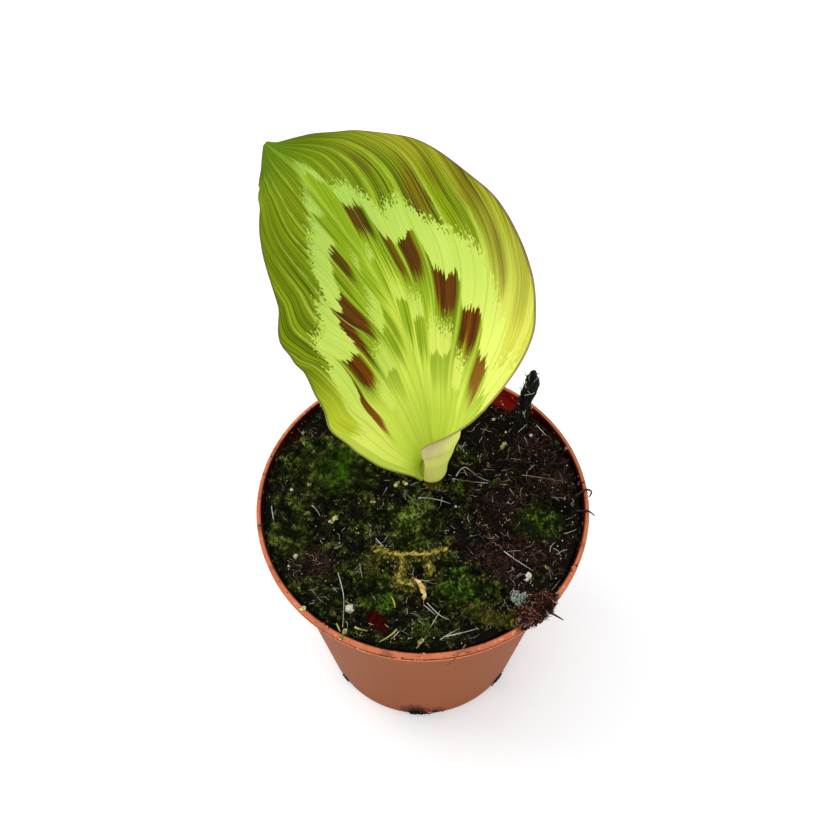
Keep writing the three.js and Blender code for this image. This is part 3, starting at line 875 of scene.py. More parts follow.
def strengths(left, right):
    """A number for each stretch between two veins, given as (from, to, number), and 0 elsewhere."""
    points = [(0, 0), (0.5, 0), (1, 0)]
    for side, stretches in ((-1, left), (1, right)):
        for start, end, number in stretches:
            start, end = chart_place(side, start), chart_place(side, end)
            points += [(start, 0), (start + side * 2 * CHART_STEP, number)]
            points += [(end - side * 2 * CHART_STEP, number), (end, 0)]
    return chart_curve(chart_value, points)


band, under_band = patch_share(LEFT_BAND, RIGHT_BAND, 0.075, 0.11)
row, under_row = patch_share(LEFT_ROW, RIGHT_ROW, 0.06, 0.13)
in_row = strengths(*[[(*patch[:2], 1) for patch in half] for half in (LEFT_ROW, RIGHT_ROW)])
row = row * in_row
print("patches frayed in", len(graph.nodes), "nodes")

# %% [markdown]
# ## Colouring the upper side
#
# The young blade is lime at its base and green higher up; near the base the lime and the pale
# patches are painted lighter still, as painted light through the rolled blade where it lies in
# shade. Just under each patch of the band lies a red-brown blotch, browner towards the base and
# nearly olive near the tip. Outside the band the margin is green with fine darker ribs, and it
# flushes brown on the right. The pale patches are a little duller than the rest, because air
# under their skin scatters the light.

# %% Mix the leaf's ground colours
# Brown smudges of the right margin: vein number, place along, half sizes and strength
SMUDGES = [
    (0.14, 0.69, 0.11, 0.11, 0.75),
    (-0.10, 0.82, 0.10, 0.04, 0.4),
    (0.30, 0.70, 0.07, 0.07, 0.55),
    (0.53, 0.51, 0.05, 0.07, 0.5),
    (0.69, 0.45, 0.08, 0.07, 0.25),
    (0.42, 0.62, 0.06, 0.06, 0.35),
]
ribs = vein_noise(85, 1.2, 3, 11)
streaks = vein_noise(24, 2.2, 3, 17)
clouds = vein_noise(6, 4, 2, 23)
dashes = vein_noise(60, 22, 2, 29)
lines = 0.6 * ramp(ribs, 0.40, 0.60) + 0.4 * ramp(streaks, 0.36, 0.64)
sway = streaks - 0.5
to_right = ramp(side, -1, 1)

lime = tint(lines, (180, 204, 40), (222, 236, 92))
# Near the base the lime is painted lighter, as painted light through the blade where its curl shades it.
lit_low_lime = tint(lines, (206, 226, 72), (234, 246, 112))
lime = tint(ramp(along, 0.48, 0.26), lime, lit_low_lime)
green = tint(lines, (84, 118, 0), (152, 184, 12))
near_band = 0.9 * ramp(under_band + 0.22 * sway, 0.24, 0.11)
under_patch = 0.85 * in_row * ramp(under_row + 0.15 * sway, 0.14, 0.06) * ramp(under_row, -0.004, 0.004)
high_green = 0.9 * ramp(along + 0.4 * sway, 0.51, 0.69)
greenness = larger(larger(near_band, under_patch), high_green) * ramp(along, 0.16, 0.42)
inner = tint(greenness, lime, green)

margin = tint(lines, (54, 74, 0), (146, 168, 8))
brown = tint(lines, (84, 58, 0), (180, 172, 40))
flush = ramp(from_midrib + clouds - 0.5, 0.66, 0.98) * to_right * ramp(along, 0.97, 0.80)
margin = tint(0.6 * flush, margin, brown)
yellow_margin = tint(lines, (170, 186, 16), (214, 222, 72))
pale_margin = tint(lines, (196, 198, 54), (230, 232, 108))
pale_margin = tint(to_right, yellow_margin, pale_margin)
low_share = ramp(along - 0.06 * side + 0.25 * sway, 0.56, 0.33)
margin = tint(low_share, margin, pale_margin)
smudge_colour = tint(lines, (66, 42, 0), (124, 96, 8))
for vein_at, place_at, half_across, half_along, strength in SMUDGES:
    scale = (1 / half_across, 1 / half_along, 0)
    middle = ((vein_at - CHART_LOW) * scale[0], place_at * scale[1], 0)
    smudge = ramp(distance(stretched(vein_place, scale), middle) + 2.2 * sway, 1, 0.3)
    margin = tint(strength * smudge, margin, smudge_colour)
ground = tint(ramp(under_band, -0.02, -0.07), inner, margin)
print("ground mixed")

# %% Add the blotches
# From vein, to vein, and how much further down the blotch reaches
LEFT_DEEPER = [(-0.045, 0.11, 0.03), (0.30, 0.475, 0.025), (0.48, 0.62, 0.05)]
RIGHT_DEEPER = [(-0.335, -0.21, 0.03), (-0.2, -0.02, 0.015)]
# From vein, to vein, and how strong the blotch is
LEFT_BLOTCHES = [(-0.58, -0.49, 0.3), (-0.40, -0.215, 0.95), (-0.20, -0.07, 0.35), (-0.045, 0.28, 1.0)]
LEFT_BLOTCHES += [(0.30, 0.475, 1.0), (0.49, 0.62, 1.0)]
RIGHT_BLOTCHES = [(-0.65, -0.37, 1.0), (-0.335, -0.215, 0.9), (-0.195, -0.02, 1.0), (0.005, 0.20, 1.0)]
RIGHT_BLOTCHES += [(0.23, 0.40, 1.0), (0.43, 0.60, 0.9)]
depth = under_band + 0.08 * sway - strengths(LEFT_DEEPER, RIGHT_DEEPER)
blotch = ramp(under_band, -0.004, 0.003) * ramp(depth, 0.105, 0.055) * ramp(along, 0.12, 0.20)
blotch = blotch * strengths(LEFT_BLOTCHES, RIGHT_BLOTCHES)
high_maroon = tint(ramp(along, 0.54, 0.70), (72, 20, 0), (52, 40, 0))
low_maroon = tint(ramp(along, 0.54, 0.44), (100, 44, 0), (126, 52, 2))
maroon = tint(ramp(streaks, 0.42, 0.62), high_maroon, low_maroon)
maroon = tint(ramp(along - 0.05 * side, 0.34, 0.27), maroon, (130, 52, 18))
ground = tint(0.95 * blotch, ground, maroon)

# %% Add the pale patches and the veins
low_pale = tint(lines, (196, 220, 90), (208, 230, 106))
high_pale = tint(lines, (162, 194, 76), (176, 206, 92))
pale = tint(ramp(along, 0.42, 0.78), low_pale, high_pale)
# Near the base the pale patches are painted lighter still, as painted light where the rolled base lies in
# shade.
pale = tint(ramp(along - 0.07 * side, 0.46, 0.24), pale, (234, 243, 116))
pale_share = larger(band, 0.8 * row)
colours = tint(pale_share, ground, pale)

# The main veins are bright streaks beyond the band, and fine lines inside it
vein_colour = tint(ramp(along, 0.45, 0.8), (214, 230, 92), (160, 190, 52))
vein_streak = ramp(from_vein, 0.16, 0.02) * ramp(dashes, 0.35, 0.55)
vein_streak = vein_streak * ramp(under_band, -0.03, -0.10) * ramp(from_midrib, 1, 0.6)
colours = tint(0.6 * vein_streak, colours, vein_colour)
colours = tint(0.4 * main_vein, colours, vein_colour)
fine_vein = larger(main_vein, middle_vein) * pale_share
colours = tint(0.35 * fine_vein, colours, (140, 172, 54))
colours = tint(0.4 * ramp(from_midrib, 0.020, 0.006), colours, (176, 204, 70))
colours = tint(0.6 * ramp(along, 0.86, 0.99), colours, (70, 112, 8))
colours = tint(0.7 * ramp(from_midrib, 0.984, 0.996), colours, (104, 74, 52))
paint(colours)
attach(0.12 * pale_share + 0.46, shader.inputs["Roughness"])
relief(vein_noise(170, 3, 1, 41), 0.00025, 0.6)
print("leaf painted in", len(graph.nodes), "nodes")

# %% [markdown]
# ## The leaf's under side
#
# The under side is paler and duller, yellow-green with a flush of pink along the margin. It only
# shows where the right margin laps over the front, and from behind.

# %% Paint the under side and give the blade its thickness
under = new_finish("leaf_under", 0.6, 0.15)
uv = add("ShaderNodeUVMap", uv_map="blade")
lines = grain(1, 2, stretched(uv, (260, 8, 1)))
colours = tint(ramp(lines, 0.3, 0.7), (210, 216, 102), (232, 238, 120))
from_midrib = maths("ABSOLUTE", 2 * part_of(uv, 0) - 1)
blush = ramp(from_midrib, 0.66, 0.96) * ramp(part_of(uv, 1), 0.12, 0.22)
paint(tint(blush, colours, (196, 180, 130)))
relief(lines, 0.0003, 0.5)

blade_piece = take_out(blade, "leaf_blade", upper, ("leaf",))
blade_piece.data.materials.append(under)
wall = blade_piece.modifiers.new("thickness", "SOLIDIFY")
wall.thickness = BLADE_THICK * MM
wall.offset = -1
wall.use_even_offset = False
wall.material_offset = 1
print("blade is", BLADE_THICK, "mm thick")

# %% [markdown]
# ## Stems and roots as tubes
#
# A stem is a circle drawn along a path. The curve tool can do that, but here the rings should
# change size and be shaped further, so a circle is extruded ring by ring, and each new ring is
# carried from the place of the last one to the next place on the path.

# %% Tube helper


def frame_at(stations, route, at, radius):
    """The place, direction and size of a ring on a path."""
    behind = point_through(stations, route, max(0, at - 0.01))
    way = (point_through(stations, route, min(1, at + 0.01)) - behind).normalized()
    side = Vector((1, 0, 0)) if abs(way.x) < 0.9 else Vector((0, 1, 0))
    side = (side - way * side.dot(way)).normalized()
    turned = Matrix((side, way.cross(side), way)).transposed().to_4x4()
    return Matrix.Translation(point_through(stations, route, at)) @ turned @ Matrix.Scale(radius, 4)


def tube(bm, route, radius_at, sides=12, steps=24, start=0.0, end=1.0, closed=True):
    """Adds a round bar along a path, with its radius given by radius_at(0 to 1)."""
    stations = stations_of(route)
    ring = bmesh.ops.create_circle(bm, segments=sides, radius=1)["verts"]
    edges = list({edge for vert in ring for edge in vert.link_edges})
    first = edges
    before = Matrix.Identity(4)
    for step in range(steps + 1):
        at = start + (end - start) * step / steps
        if step:
            grown = bmesh.ops.extrude_edge_only(bm, edges=edges)["geom"]
            ring = [part for part in grown if isinstance(part, bmesh.types.BMVert)]
            edges = [part for part in grown if isinstance(part, bmesh.types.BMEdge)]
        after = frame_at(stations, route, at, radius_at(at))
        bmesh.ops.transform(bm, matrix=after @ before.inverted(), verts=ring)
        before = after
    if closed:
        bmesh.ops.edgeloop_fill(bm, edges=first)
        bmesh.ops.edgeloop_fill(bm, edges=edges)
    bmesh.ops.recalc_face_normals(bm, faces=bm.faces)


def roughen(bm, size, depth, seed=0):
    """Moves each point along its normal by noise of a grain size."""
    bm.normal_update()
    offset = Vector((seed * 17.3, seed * 5.1, 0))
    for vert in bm.verts:
        vert.co += vert.normal * depth * noise.noise(vert.co / size + offset)


print("tube helper ready")

# %% [markdown]
# ## Stalk and scale leaf
#
# Under the blade a short stalk goes down into the peat. A dry scale leaf hugs it, olive-brown and
# ribbed, with a thin torn edge. It is a tube that is left open, given a papery wall, and its top
# is pulled up in three waves round the stalk.

# %% Make the stalk and the scale leaf
STALK = [(3.4, 11.4, 86), (3.6, 11.8, 95), (3.8, 12.3, 103), (3.8, 12, 108.6), (3.3, 10.1, 114.2)]
STALK_RADIUS = 2.8
STALK_TOP = 4.5
SHEATH_RADIUS = 3.3
SHEATH_THICK = 0.4
SHEATH_BOTTOM = 0.3  # where it begins and ends along the stalk
SHEATH_TOP = 0.88
SHEATH_EDGE = 6  # how far down the torn edge changes the shape


def stalk_radius(at):
    """The stalk widens into the base of the blade."""
    return STALK_RADIUS + (STALK_TOP - STALK_RADIUS) * smooth_step(0.8, 1, at)


stalk_green = new_finish("stalk_green", 0.5, 0.15)
ribs = grain(1400, 2, stretched(object_place(), (1, 1, 0.12)))
paint(tint(ribs, (164, 172, 60), (210, 216, 116)))
relief(ribs, 0.0002)
bm = bmesh.new()
tube(bm, STALK, stalk_radius, sides=28, steps=30)
take_out(bm, "leaf_stalk", stalk_green)

dry_scale = new_finish("dry_scale", 0.6, 0.15)
place = object_place()
ribs = grain(1900, 2, stretched(place, (1, 1, 0.1)))
colours = tint(ramp(ribs, 0.35, 0.65), (50, 38, 4), (92, 76, 16))
# A painted highlight on the lowest part of the scale leaf, just above the peat.
low_highlight = ramp(part_of(place, 2), 0.1035, 0.1015) * ramp(ribs, 0.45, 0.6)
paint(tint(0.6 * low_highlight, colours, (160, 146, 60)))
relief(ribs, 0.0003)
bm = bmesh.new()
tube(bm, STALK, lambda at: SHEATH_RADIUS, 40, 24, start=SHEATH_BOTTOM, end=SHEATH_TOP, closed=False)
top = max(vert.co.z for vert in bm.verts)
for vert in bm.verts:
    share = smooth_step(top - SHEATH_EDGE, top, vert.co.z)
    bearing = math.atan2(vert.co.y - STALK[3][1], vert.co.x - STALK[3][0])
    vert.co.z += share * (0.6 * math.sin(3 * bearing) + 0.6)
roughen(bm, 1.6, 0.25)
sheath = take_out(bm, "scale_leaf", dry_scale, ("leaf_sheath",))
wall = sheath.modifiers.new("wall", "SOLIDIFY")
wall.thickness = SHEATH_THICK * MM
wall.offset = -1

# %% [markdown]
# ## Many small things from one
#
# Moss shoots, fibres and crumbs come in thousands. Each kind is modelled once with operators,
# with a few dozen faces at most, and is then copied to many places as one piece. Adding every
# copy to a bmesh would take minutes, so the copies are stacked as arrays. Each copy keeps a
# random tone, and each point keeps how near it is to the tip, for the finish to read.

# %% Copying helper


def strewn(template, places, tones, name, finish, smooth=False, dryness=()):
    """One piece of many copies of a small closed shape."""
    bmesh.ops.triangulate(template, faces=template.faces)
    template.verts.index_update()
    points = np.array([(*vert.co, 1) for vert in template.verts])
    faces = np.array([[vert.index for vert in face.verts] for face in template.faces])
    template.free()
    matrices = np.array([[list(line) for line in place] for place in places])
    corners = np.einsum("nij,vj->nvi", matrices, points)[:, :, :3].reshape(-1, 3) * MM
    shifts = np.arange(len(places))[:, None, None] * len(points)
    piece_mesh = bpy.data.meshes.new(name)
    piece_mesh.from_pydata(corners.tolist(), [], (faces[None] + shifts).reshape(-1, 3).tolist())
    nearness = np.clip(points[:, 2] / max(points[:, 2].max(), 0.001), 0, 1)
    numbers = {"tone": np.repeat(tones, len(points)), "tip": np.tile(nearness, len(places))}
    if dryness:
        numbers["dry"] = np.repeat(dryness, len(points))
    for label, values in numbers.items():
        layer = piece_mesh.attributes.new(label, "FLOAT", "POINT")
        layer.data.foreach_set("value", values.astype(np.float32))
    return show(piece_mesh, name, finish, smooth=smooth)


def planted(x, y, z, lean_to, lean, spin, size):
    """The place of one copy: its foot, the bearing and angle it leans, its turn and its size."""
    tilt = Matrix.Rotation(lean, 4, Vector((-math.sin(lean_to), math.cos(lean_to), 0)))
    return Matrix.Translation((x, y, z)) @ tilt @ Matrix.Rotation(spin, 4, "Z") @ Matrix.Scale(size, 4)


def dropped(dice, x, y, z, lean, size):
    """The place of one copy that faces a random way."""
    return planted(x, y, z, dice.uniform(0, math.tau), lean, dice.uniform(0, math.tau), size)


def on_top(dice, x, y, lift, lean, size):
    """The place of one copy that lies a little above the peat."""
    return dropped(dice, x, y, crumbly(x, y) + lift, lean, size)


def within(share):
    """A number brought between 0 and 1."""
    return min(1, max(0, share))


def in_disc(dice, radius):
    """A random place in a disc round the pot's middle."""
    reach = radius * math.sqrt(dice.random())
    bearing = dice.uniform(0, math.tau)
    return reach * math.cos(bearing), reach * math.sin(bearing)


print("copying helper ready")

# %% [markdown]
# ## Crumbs and fibres of peat
#
# Coarse peat is crumbs, chips and fibres. A crumb is a squashed ball with few faces. A fibre is
# a thin three-sided bar bent twice. Both lie at random, more fibres on the brown mounds and on
# the heap at the front right. Damp crumbs also cling to the wall round three drain slots.

# %% Strew the crumbs
SLOT_DIRT = [(-88, 9, 0.7), (-93, 4, 1.0), (-38, 5, 0.8), (-142, 3, 0.6)]  # bearing, spread, size
CRUMBS = 2600
SLOT_CRUMBS = 60  # at each patch of dirt
WALL_SLOPE = 0.147  # how much further out the wall is for each mm up
PALE_SPECKS = 320

crumb_finish = new_finish("peat_crumb", 0.85, 0.1)
tone = attribute("tone")
colours = tint(tone, (8, 6, 5), (44, 29, 20))
colours = tint(ramp(grain(1200), 0.55, 0.85), colours, (74, 54, 38))
paint(tint(ramp(tone, 0.96, 0.98), colours, (206, 196, 172)))

dice = random.Random(11)
crumb = bmesh.new()
bmesh.ops.create_icosphere(crumb, subdivisions=1, radius=0.5)
for vert in crumb.verts:
    vert.co *= dice.uniform(0.65, 1.15)
places = []
for _ in range(CRUMBS):
    x, y = in_disc(dice, 56.5)
    size = 0.5 + 1.4 * dice.random() ** 3
    squash = Matrix.Diagonal((1, dice.uniform(0.5, 1), dice.uniform(0.4, 0.8), 1))
    places.append(on_top(dice, x, y, 0.1, dice.uniform(0, 0.7), size) @ squash)
for bearing, spread, size in SLOT_DIRT:
    for _ in range(SLOT_CRUMBS):
        turn = math.radians(bearing + dice.gauss(0, spread / 2))
        z = 0.9 + abs(dice.gauss(0, 1.3))
        radius = FOOT_RADIUS + WALL_SLOPE * z
        x, y = radius * math.cos(turn), radius * math.sin(turn)
        places.append(dropped(dice, x, y, z, 1.5, size * dice.uniform(0.5, 1.2)))
tones = [0.9 * dice.random() ** 2 for _ in places]
for _ in range(PALE_SPECKS):
    x, y = in_disc(dice, 56)
    places.append(on_top(dice, x, y, 0.7, dice.uniform(0, 1), dice.uniform(0.25, 0.65)))
    tones.append(1)
strewn(crumb, places, tones, "peat_crumbs", crumb_finish)

# %% Strew the fibres


def fibre(bend, half_thick=0.036):
    """A three-sided bar, one long, bent by an amount."""
    bm = bmesh.new()
    route = [(-0.5, 0, 0), (-0.2, bend, 0.02), (0.2, -bend, 0.05), (0.5, bend * 0.4, 0)]
    tube(bm, route, lambda at: half_thick, 3, 3)
    return bm


fibre_finish = new_finish("peat_fibre", 0.7, 0.15)
tone = attribute("tone")
dull = tint(ramp(tone, 0.1, 0.9), (10, 6, 5), (104, 70, 56))
paint(tint(ramp(tone, 0.94, 0.98), dull, (204, 190, 172)))

FIBRES = 1000  # of each kind, everywhere
MOUND_FIBRES = 1500  # of each kind, on the mounds
# The brown mounds: x, y and reach
MOUND_PLACES = [(29.5, 3, 10), (-37, -23, 7), (39, -16, 10), (48, 12, 9), (27, -20, 9), (40, 28, 9)]


def moss_cover(x, y):
    """How much of the peat the moss hides: most on the left, little on the right."""
    return 0.6 * (1 - smooth_step(0, 20, x))


def lying(dice, x, y, size):
    """The place of a fibre that lies on the peat."""
    return on_top(dice, x, y, dice.uniform(0.2, 0.7), dice.gauss(0, 0.3), size)


for number, bend in enumerate((0.08, 0.18)):
    dice = random.Random(20 + number)
    places, tones = [], []
    for _ in range(FIBRES):
        x, y = in_disc(dice, 56)
        if dice.random() < moss_cover(x, y):
            continue
        places.append(lying(dice, x, y, dice.uniform(1.3, 3.6)))
        tones.append(dice.random())
    for _ in range(MOUND_FIBRES):
        mx, my, reach = dice.choice(MOUND_PLACES)
        x, y = mx + dice.gauss(0, reach * 0.5), my + dice.gauss(0, reach * 0.5)
        if math.hypot(x, y) < 56:
            places.append(lying(dice, x, y, dice.uniform(1, 2.8)))
            tones.append(0.1 + 0.87 * dice.random() ** 2)
    strewn(fibre(bend), places, tones, f"peat_fibres_{number}", fibre_finish)

# %% [markdown]
# ## Moss
#
# Moss is made of shoots a few millimetres tall, each a whorl of narrow pointed leaves. From
# above one sees bright leaf tips over a dark inside. One shoot is a set of thin three-sided
# cones, in tiers that open outwards. The shoots stand close on the cushions and nearly
# everywhere else on the left; on the right brown peat shows. Their colour runs from painted
# shade at the foot to yellow-green at the tip, with painted highlights on the brightest tips.
# Shoots are brighter where the moss is young, darker as painted shade in the hollows of the
# peat, and olive where they are dry.

# %% Model one moss shoot


def moss_shoot(tiers, leaves, length, width, opening):
    """A whorl of pointed leaves on a short stem."""
    bm = bmesh.new()
    for tier in range(tiers):
        lean = opening * (1 - 0.55 * tier / max(1, tiers - 1))
        for leaf in range(leaves):
            turn = math.tau * (leaf + 0.5 * (tier % 2)) / leaves
            place = Matrix.Translation((0, 0, 0.3 * tier)) @ Matrix.Rotation(turn, 4, "Z")
            place = place @ Matrix.Rotation(lean, 4, "Y") @ Matrix.Translation((0, 0, length / 2))
            place = place @ Matrix.Diagonal((0.35, 1, 1, 1))
            bmesh.ops.create_cone(
                bm, cap_ends=True, segments=3, radius1=width, radius2=0, depth=length, matrix=place
            )
    return bm


moss_green = new_finish("moss", 0.7, 0.1)
tone = attribute("tone")
tip = attribute("tip")
# A shoot's tone is how bright it is painted, light and shade included: the lowest tones are nearly black
# shaded shoots.
fresh = tint(ramp(tone, 0.05, 0.4), (8, 14, 3), (38, 68, 8))
fresh = tint(ramp(tone, 0.4, 0.7), fresh, (96, 148, 22))
dry = tint(ramp(tone, 0.05, 0.4), (10, 11, 5), (62, 66, 26))
dry = tint(ramp(tone, 0.4, 0.7), dry, (134, 148, 60))
dryness = attribute("dry")
colours = tint(dryness, fresh, dry)
# The brightest tips get a painted highlight.
tip_highlight = tint(dryness, (126, 186, 34), (210, 220, 118))
colours = tint(ramp(tone, 0.7, 1.0), colours, tip_highlight)
# The foot of each shoot is painted nearly black, as shade inside the moss.
paint(tint(ramp(tip, 0.1, 0.8), (8, 12, 3), colours))
print("moss shoot ready")

# %% Say where moss grows and how bright it is
# Bright moss in the photograph: x, y, reach, how much brighter and how much greener
MOSS_SPOTS = [
    (-32, 12, 10, 0.5, 1.0),
    (-30, 20, 9, 0.35, 0.8),
    (-42, 27, 6, 0.5, 0.6),
    (-52.5, -14, 6, 0.55, 0.7),
    (0, 2, 8, 0.5, 0.2),
    (-4, -5, 9, 0.5, 0.2),
    (0.5, -14, 6, 0.45, 0.7),
    (-17, -17, 6, 0.5, 0.3),
    (-27, -16, 4, 0.3, 0.4),
    (13, -22, 6, 0.15, 1.0),
    (12, -33, 9, 0.4, 0.7),
    (20, -38, 7, 0.3, 0.2),
    (43, -5, 6, 0.45, 0.9),
    (27, 11, 4, 0.35, 0.6),
    (0.5, -48, 7, 0.5, 0.7),
    (-13, -37.5, 6, 0.6, 0.9),
    (13, 10.5, 4, 0.6, 0.8),
    (15.5, 26, 6, 0.25, 0.9),
    (-46, 4, 9, 0.25, 0.2),
    (-50, 16, 8, 0.3, 0.3),
    (-24, -26, 8, 0.15, 0.1),
    (-20, -8, 8, 0.25, 0.1),
    (-3, -20, 6, 0.3, 0.2),
    (-35, -31, 8, 0.2, 0),
]


def moss_look(dice, x, y):
    """How bright a shoot is painted, from 0 to 1, with painted shade in the hollows of the peat, and how
    dry: 0 green, 1 olive.
    """
    light = 0.37 + 0.65 * patchy(x, y, 5, 2.6) + 0.35 * patchy(x, y, 6, 7)
    # Shoots that sit in hollows of the peat get painted shade.
    light += 0.16 * (crumbly(x, y) - soil_height(x, y)) + dice.gauss(0, 0.14)
    if dice.random() < 0.05:
        light += 0.4
    dry = 0.8 + 0.6 * patchy(x, y, 8, 6) + dice.gauss(0, 0.12)
    for spot_x, spot_y, reach, brighter, greener in MOSS_SPOTS:
        near = bump(math.hypot(x - spot_x, y - spot_y), reach)
        light += brighter * near
        dry -= greener * near
    return within(light), within(dry)


def moss_share(x, y):
    """How likely moss is at a place: most of the left, patches on the right, little on mounds."""
    share = 0.8 - 0.72 * smooth_step(4, 26, x) + 0.9 * patchy(x, y, 3, 7)
    for spot_x, spot_y, reach, *_ in MOSS_SPOTS:
        share += 0.7 * bump(math.hypot(x - spot_x, y - spot_y), reach * 1.2)
    for mound_x, mound_y, reach in MOUND_PLACES:
        share -= 1.1 * bump(math.hypot(x - mound_x, y - mound_y), reach * 1.4)
    return share - 0.5 * smooth_step(22, 36, y) * smooth_step(0, 15, x)


print("share of moss on the left:", round(moss_share(-25, 10), 2))
print("share of moss on the right:", round(moss_share(40, 20), 2))

# %% Make the cushions
# Node, middle, half sizes, rise, shoots, and the leaf's length and width
CUSHIONS = [
    ("moss_back_left", -32, 17, 15, 11, 3.4, 1300, 1.7, 0.095),
    ("moss_left", -47, -9, 7, 10, 2.4, 620, 1.3, 0.14),
    ("moss_centre", -3, -5, 12, 8, 2.6, 1000, 1.1, 0.17),
    ("moss_front", 15, -32, 12, 7.5, 2.8, 900, 1.2, 0.15),
    ("moss_front_left", -17, -32, 9, 6.5, 2.2, 600, 1.2, 0.15),
    ("moss_right", 42, -5, 9, 8, 2.4, 420, 1.2, 0.14),
]
# The mat under the shoots is painted nearly black green, as the shade inside the cushions.
shaded_mat_finish = mottled("moss_ground", 0.9, 0.1, 500, (0.4, 0.7), (8, 11, 3), (44, 58, 14), 0.0008, 4)


def cushion_top(x, y, cx, cy, half_x, half_y, rise):
    """The height of a cushion's top and its distance from the middle, 1 at its edge."""
    wobble = 1 + 0.3 * patchy(x, y, 11, 6)
    out = math.hypot((x - cx) / half_x, (y - cy) / half_y) * wobble
    dome = max(0, 1 - out * out) ** 0.7
    return crumbly(x, y) + rise * dome + 0.9 * patchy(x, y, 7, 2.5) * dome, out


for number, (node, cx, cy, half_x, half_y, rise, shoots, length, width) in enumerate(CUSHIONS):
    shape = (cx, cy, half_x, half_y, rise)
    bm = bmesh.new()
    bmesh.ops.create_icosphere(bm, subdivisions=4, radius=1)
    for vert in bm.verts:
        x, y = cx + half_x * vert.co.x, cy + half_y * vert.co.y
        if vert.co.z > 0:
            vert.co = (x, y, cushion_top(x, y, *shape)[0])
        else:
            vert.co = (x, y, soil_height(x, y) - 1.2 + 1.5 * vert.co.z)
    take_out(bm, node + "_mat", shaded_mat_finish, (node,))
    dice = random.Random(40 + number)
    places, looks = [], []
    while len(places) < shoots:
        x, y = cx + half_x * dice.uniform(-1.4, 1.4), cy + half_y * dice.uniform(-1.4, 1.4)
        z, out = cushion_top(x, y, *shape)
        if dice.random() > smooth_step(1.4, 0.8, out) or math.hypot(x, y) > 56:
            continue
        lean_to = math.atan2((y - cy) / half_y, (x - cx) / half_x)
        lean = 0.5 * min(1, out) + dice.gauss(0, 0.25)
        spin, size = dice.uniform(0, math.tau), dice.uniform(0.6, 1.2)
        places.append(planted(x, y, z - 0.2, lean_to, lean, spin, size))
        looks.append(moss_look(dice, x, y))
    tones, dryness = zip(*looks)
    template = moss_shoot(3, 3, length, width, 0.95)
    strewn(template, places, tones, node + "_shoots", moss_green, dryness=dryness)

# %% Plant the thin moss between the cushions
# Length, width and opening of the leaves of each kind of shoot
THIN_SETS = [(1.0, 0.16, 0.9), (1.6, 0.105, 1.15), (1.3, 0.125, 1.0)]
THIN_SHOOTS = 4400  # of each kind
for number, (length, width, opening) in enumerate(THIN_SETS):
    dice = random.Random(60 + number)
    places, looks = [], []
    while len(places) < THIN_SHOOTS:
        x, y = in_disc(dice, 57.3)
        if dice.random() > moss_share(x, y):
            continue
        lift = 0.5 * max(0, patchy(x, y, 9, 3)) - 0.1
        places.append(on_top(dice, x, y, lift, abs(dice.gauss(0, 0.4)), dice.uniform(0.6, 1.15)))
        looks.append(moss_look(dice, x, y))
    tones, dryness = zip(*looks)
    template = moss_shoot(2, 3, length, width, opening)
    strewn(template, places, tones, f"thin_moss_{number}", moss_green, dryness=dryness)

# %% [markdown]
# ## Rootlets
#
# Fine white and tan roots lie over the peat, the long ones where the photograph shows them and
# short ones everywhere. Three dark ones and two rusty ones hang over the rim. A root is a curve
# with a round bevel: a few points give its path, and the radius falls to the tip.

# %% State the roots' paths
# Each long rootlet: its points, each (x, y), in order
LONG_ROOTLETS = [
    [(-29.9, -26), (-28.3, -31), (-27, -38), (-27.2, -49)],
    [(-22.3, -22), (-21.7, -27), (-19, -32), (-16.2, -36.7)],
    [(29.2, -16.5), (33, -20), (39.2, -25.2)],
    [(36.5, 14.7), (43, 13.2), (50.4, 9.8)],
    [(12.2, 14.4), (14.4, 19.2), (17.4, 17.2), (20.3, 13.6), (24.6, 11.8)],
    [(10.7, 13.1), (17.3, 12.2), (24.3, 11.3)],
    [(42.8, -37.2), (45.4, -34), (48.3, -30)],
    [(-49.5, 36.6), (-47.2, 33.6), (-44.4, 29.9)],
    [(-54.6, -1), (-54, -5.2), (-52.5, -10.3)],
    [(-40.4, 1.3), (-38.2, -0.3), (-37.4, -2.4)],
    [(-16.8, -12), (-14.6, -14.5), (-12.4, -16.7)],
    [(16.8, 50.7), (21.5, 48.4), (26.1, 49.1)],
    [(42.1, 34.6), (45.6, 29)],
    [(-1.8, 5), (4.4, 5.2), (9.9, 2.6)],
    [(3, -8.7), (8.8, -8.3)],
    [(0.5, -37.9), (2.1, -39.4), (4.5, -41.6)],
    [(1.7, -37), (5.2, -40.8), (7.3, -43.2), (9.4, -44.2)],
    [(-0.5, -28.5), (1.7, -29), (3.8, -30.2), (5.2, -29.8)],
    [(2.8, -47.8), (4.5, -44), (6.3, -39.9)],
    [(6.2, -53.3), (10, -50), (13.2, -48.1)],
    [(7.3, -52.5), (16.6, -49.8), (19.4, -48.3)],
    [(-17.4, -43), (-14.6, -44.7), (-11.4, -48.1)],
    [(-26.7, -37.4), (-25.2, -39.4), (-21, -38.9)],
    [(-7.9, -49.6), (-9.2, -52.2), (-10.7, -52.9)],
    [(0.1, -52.3), (-1.3, -55.4)],
]
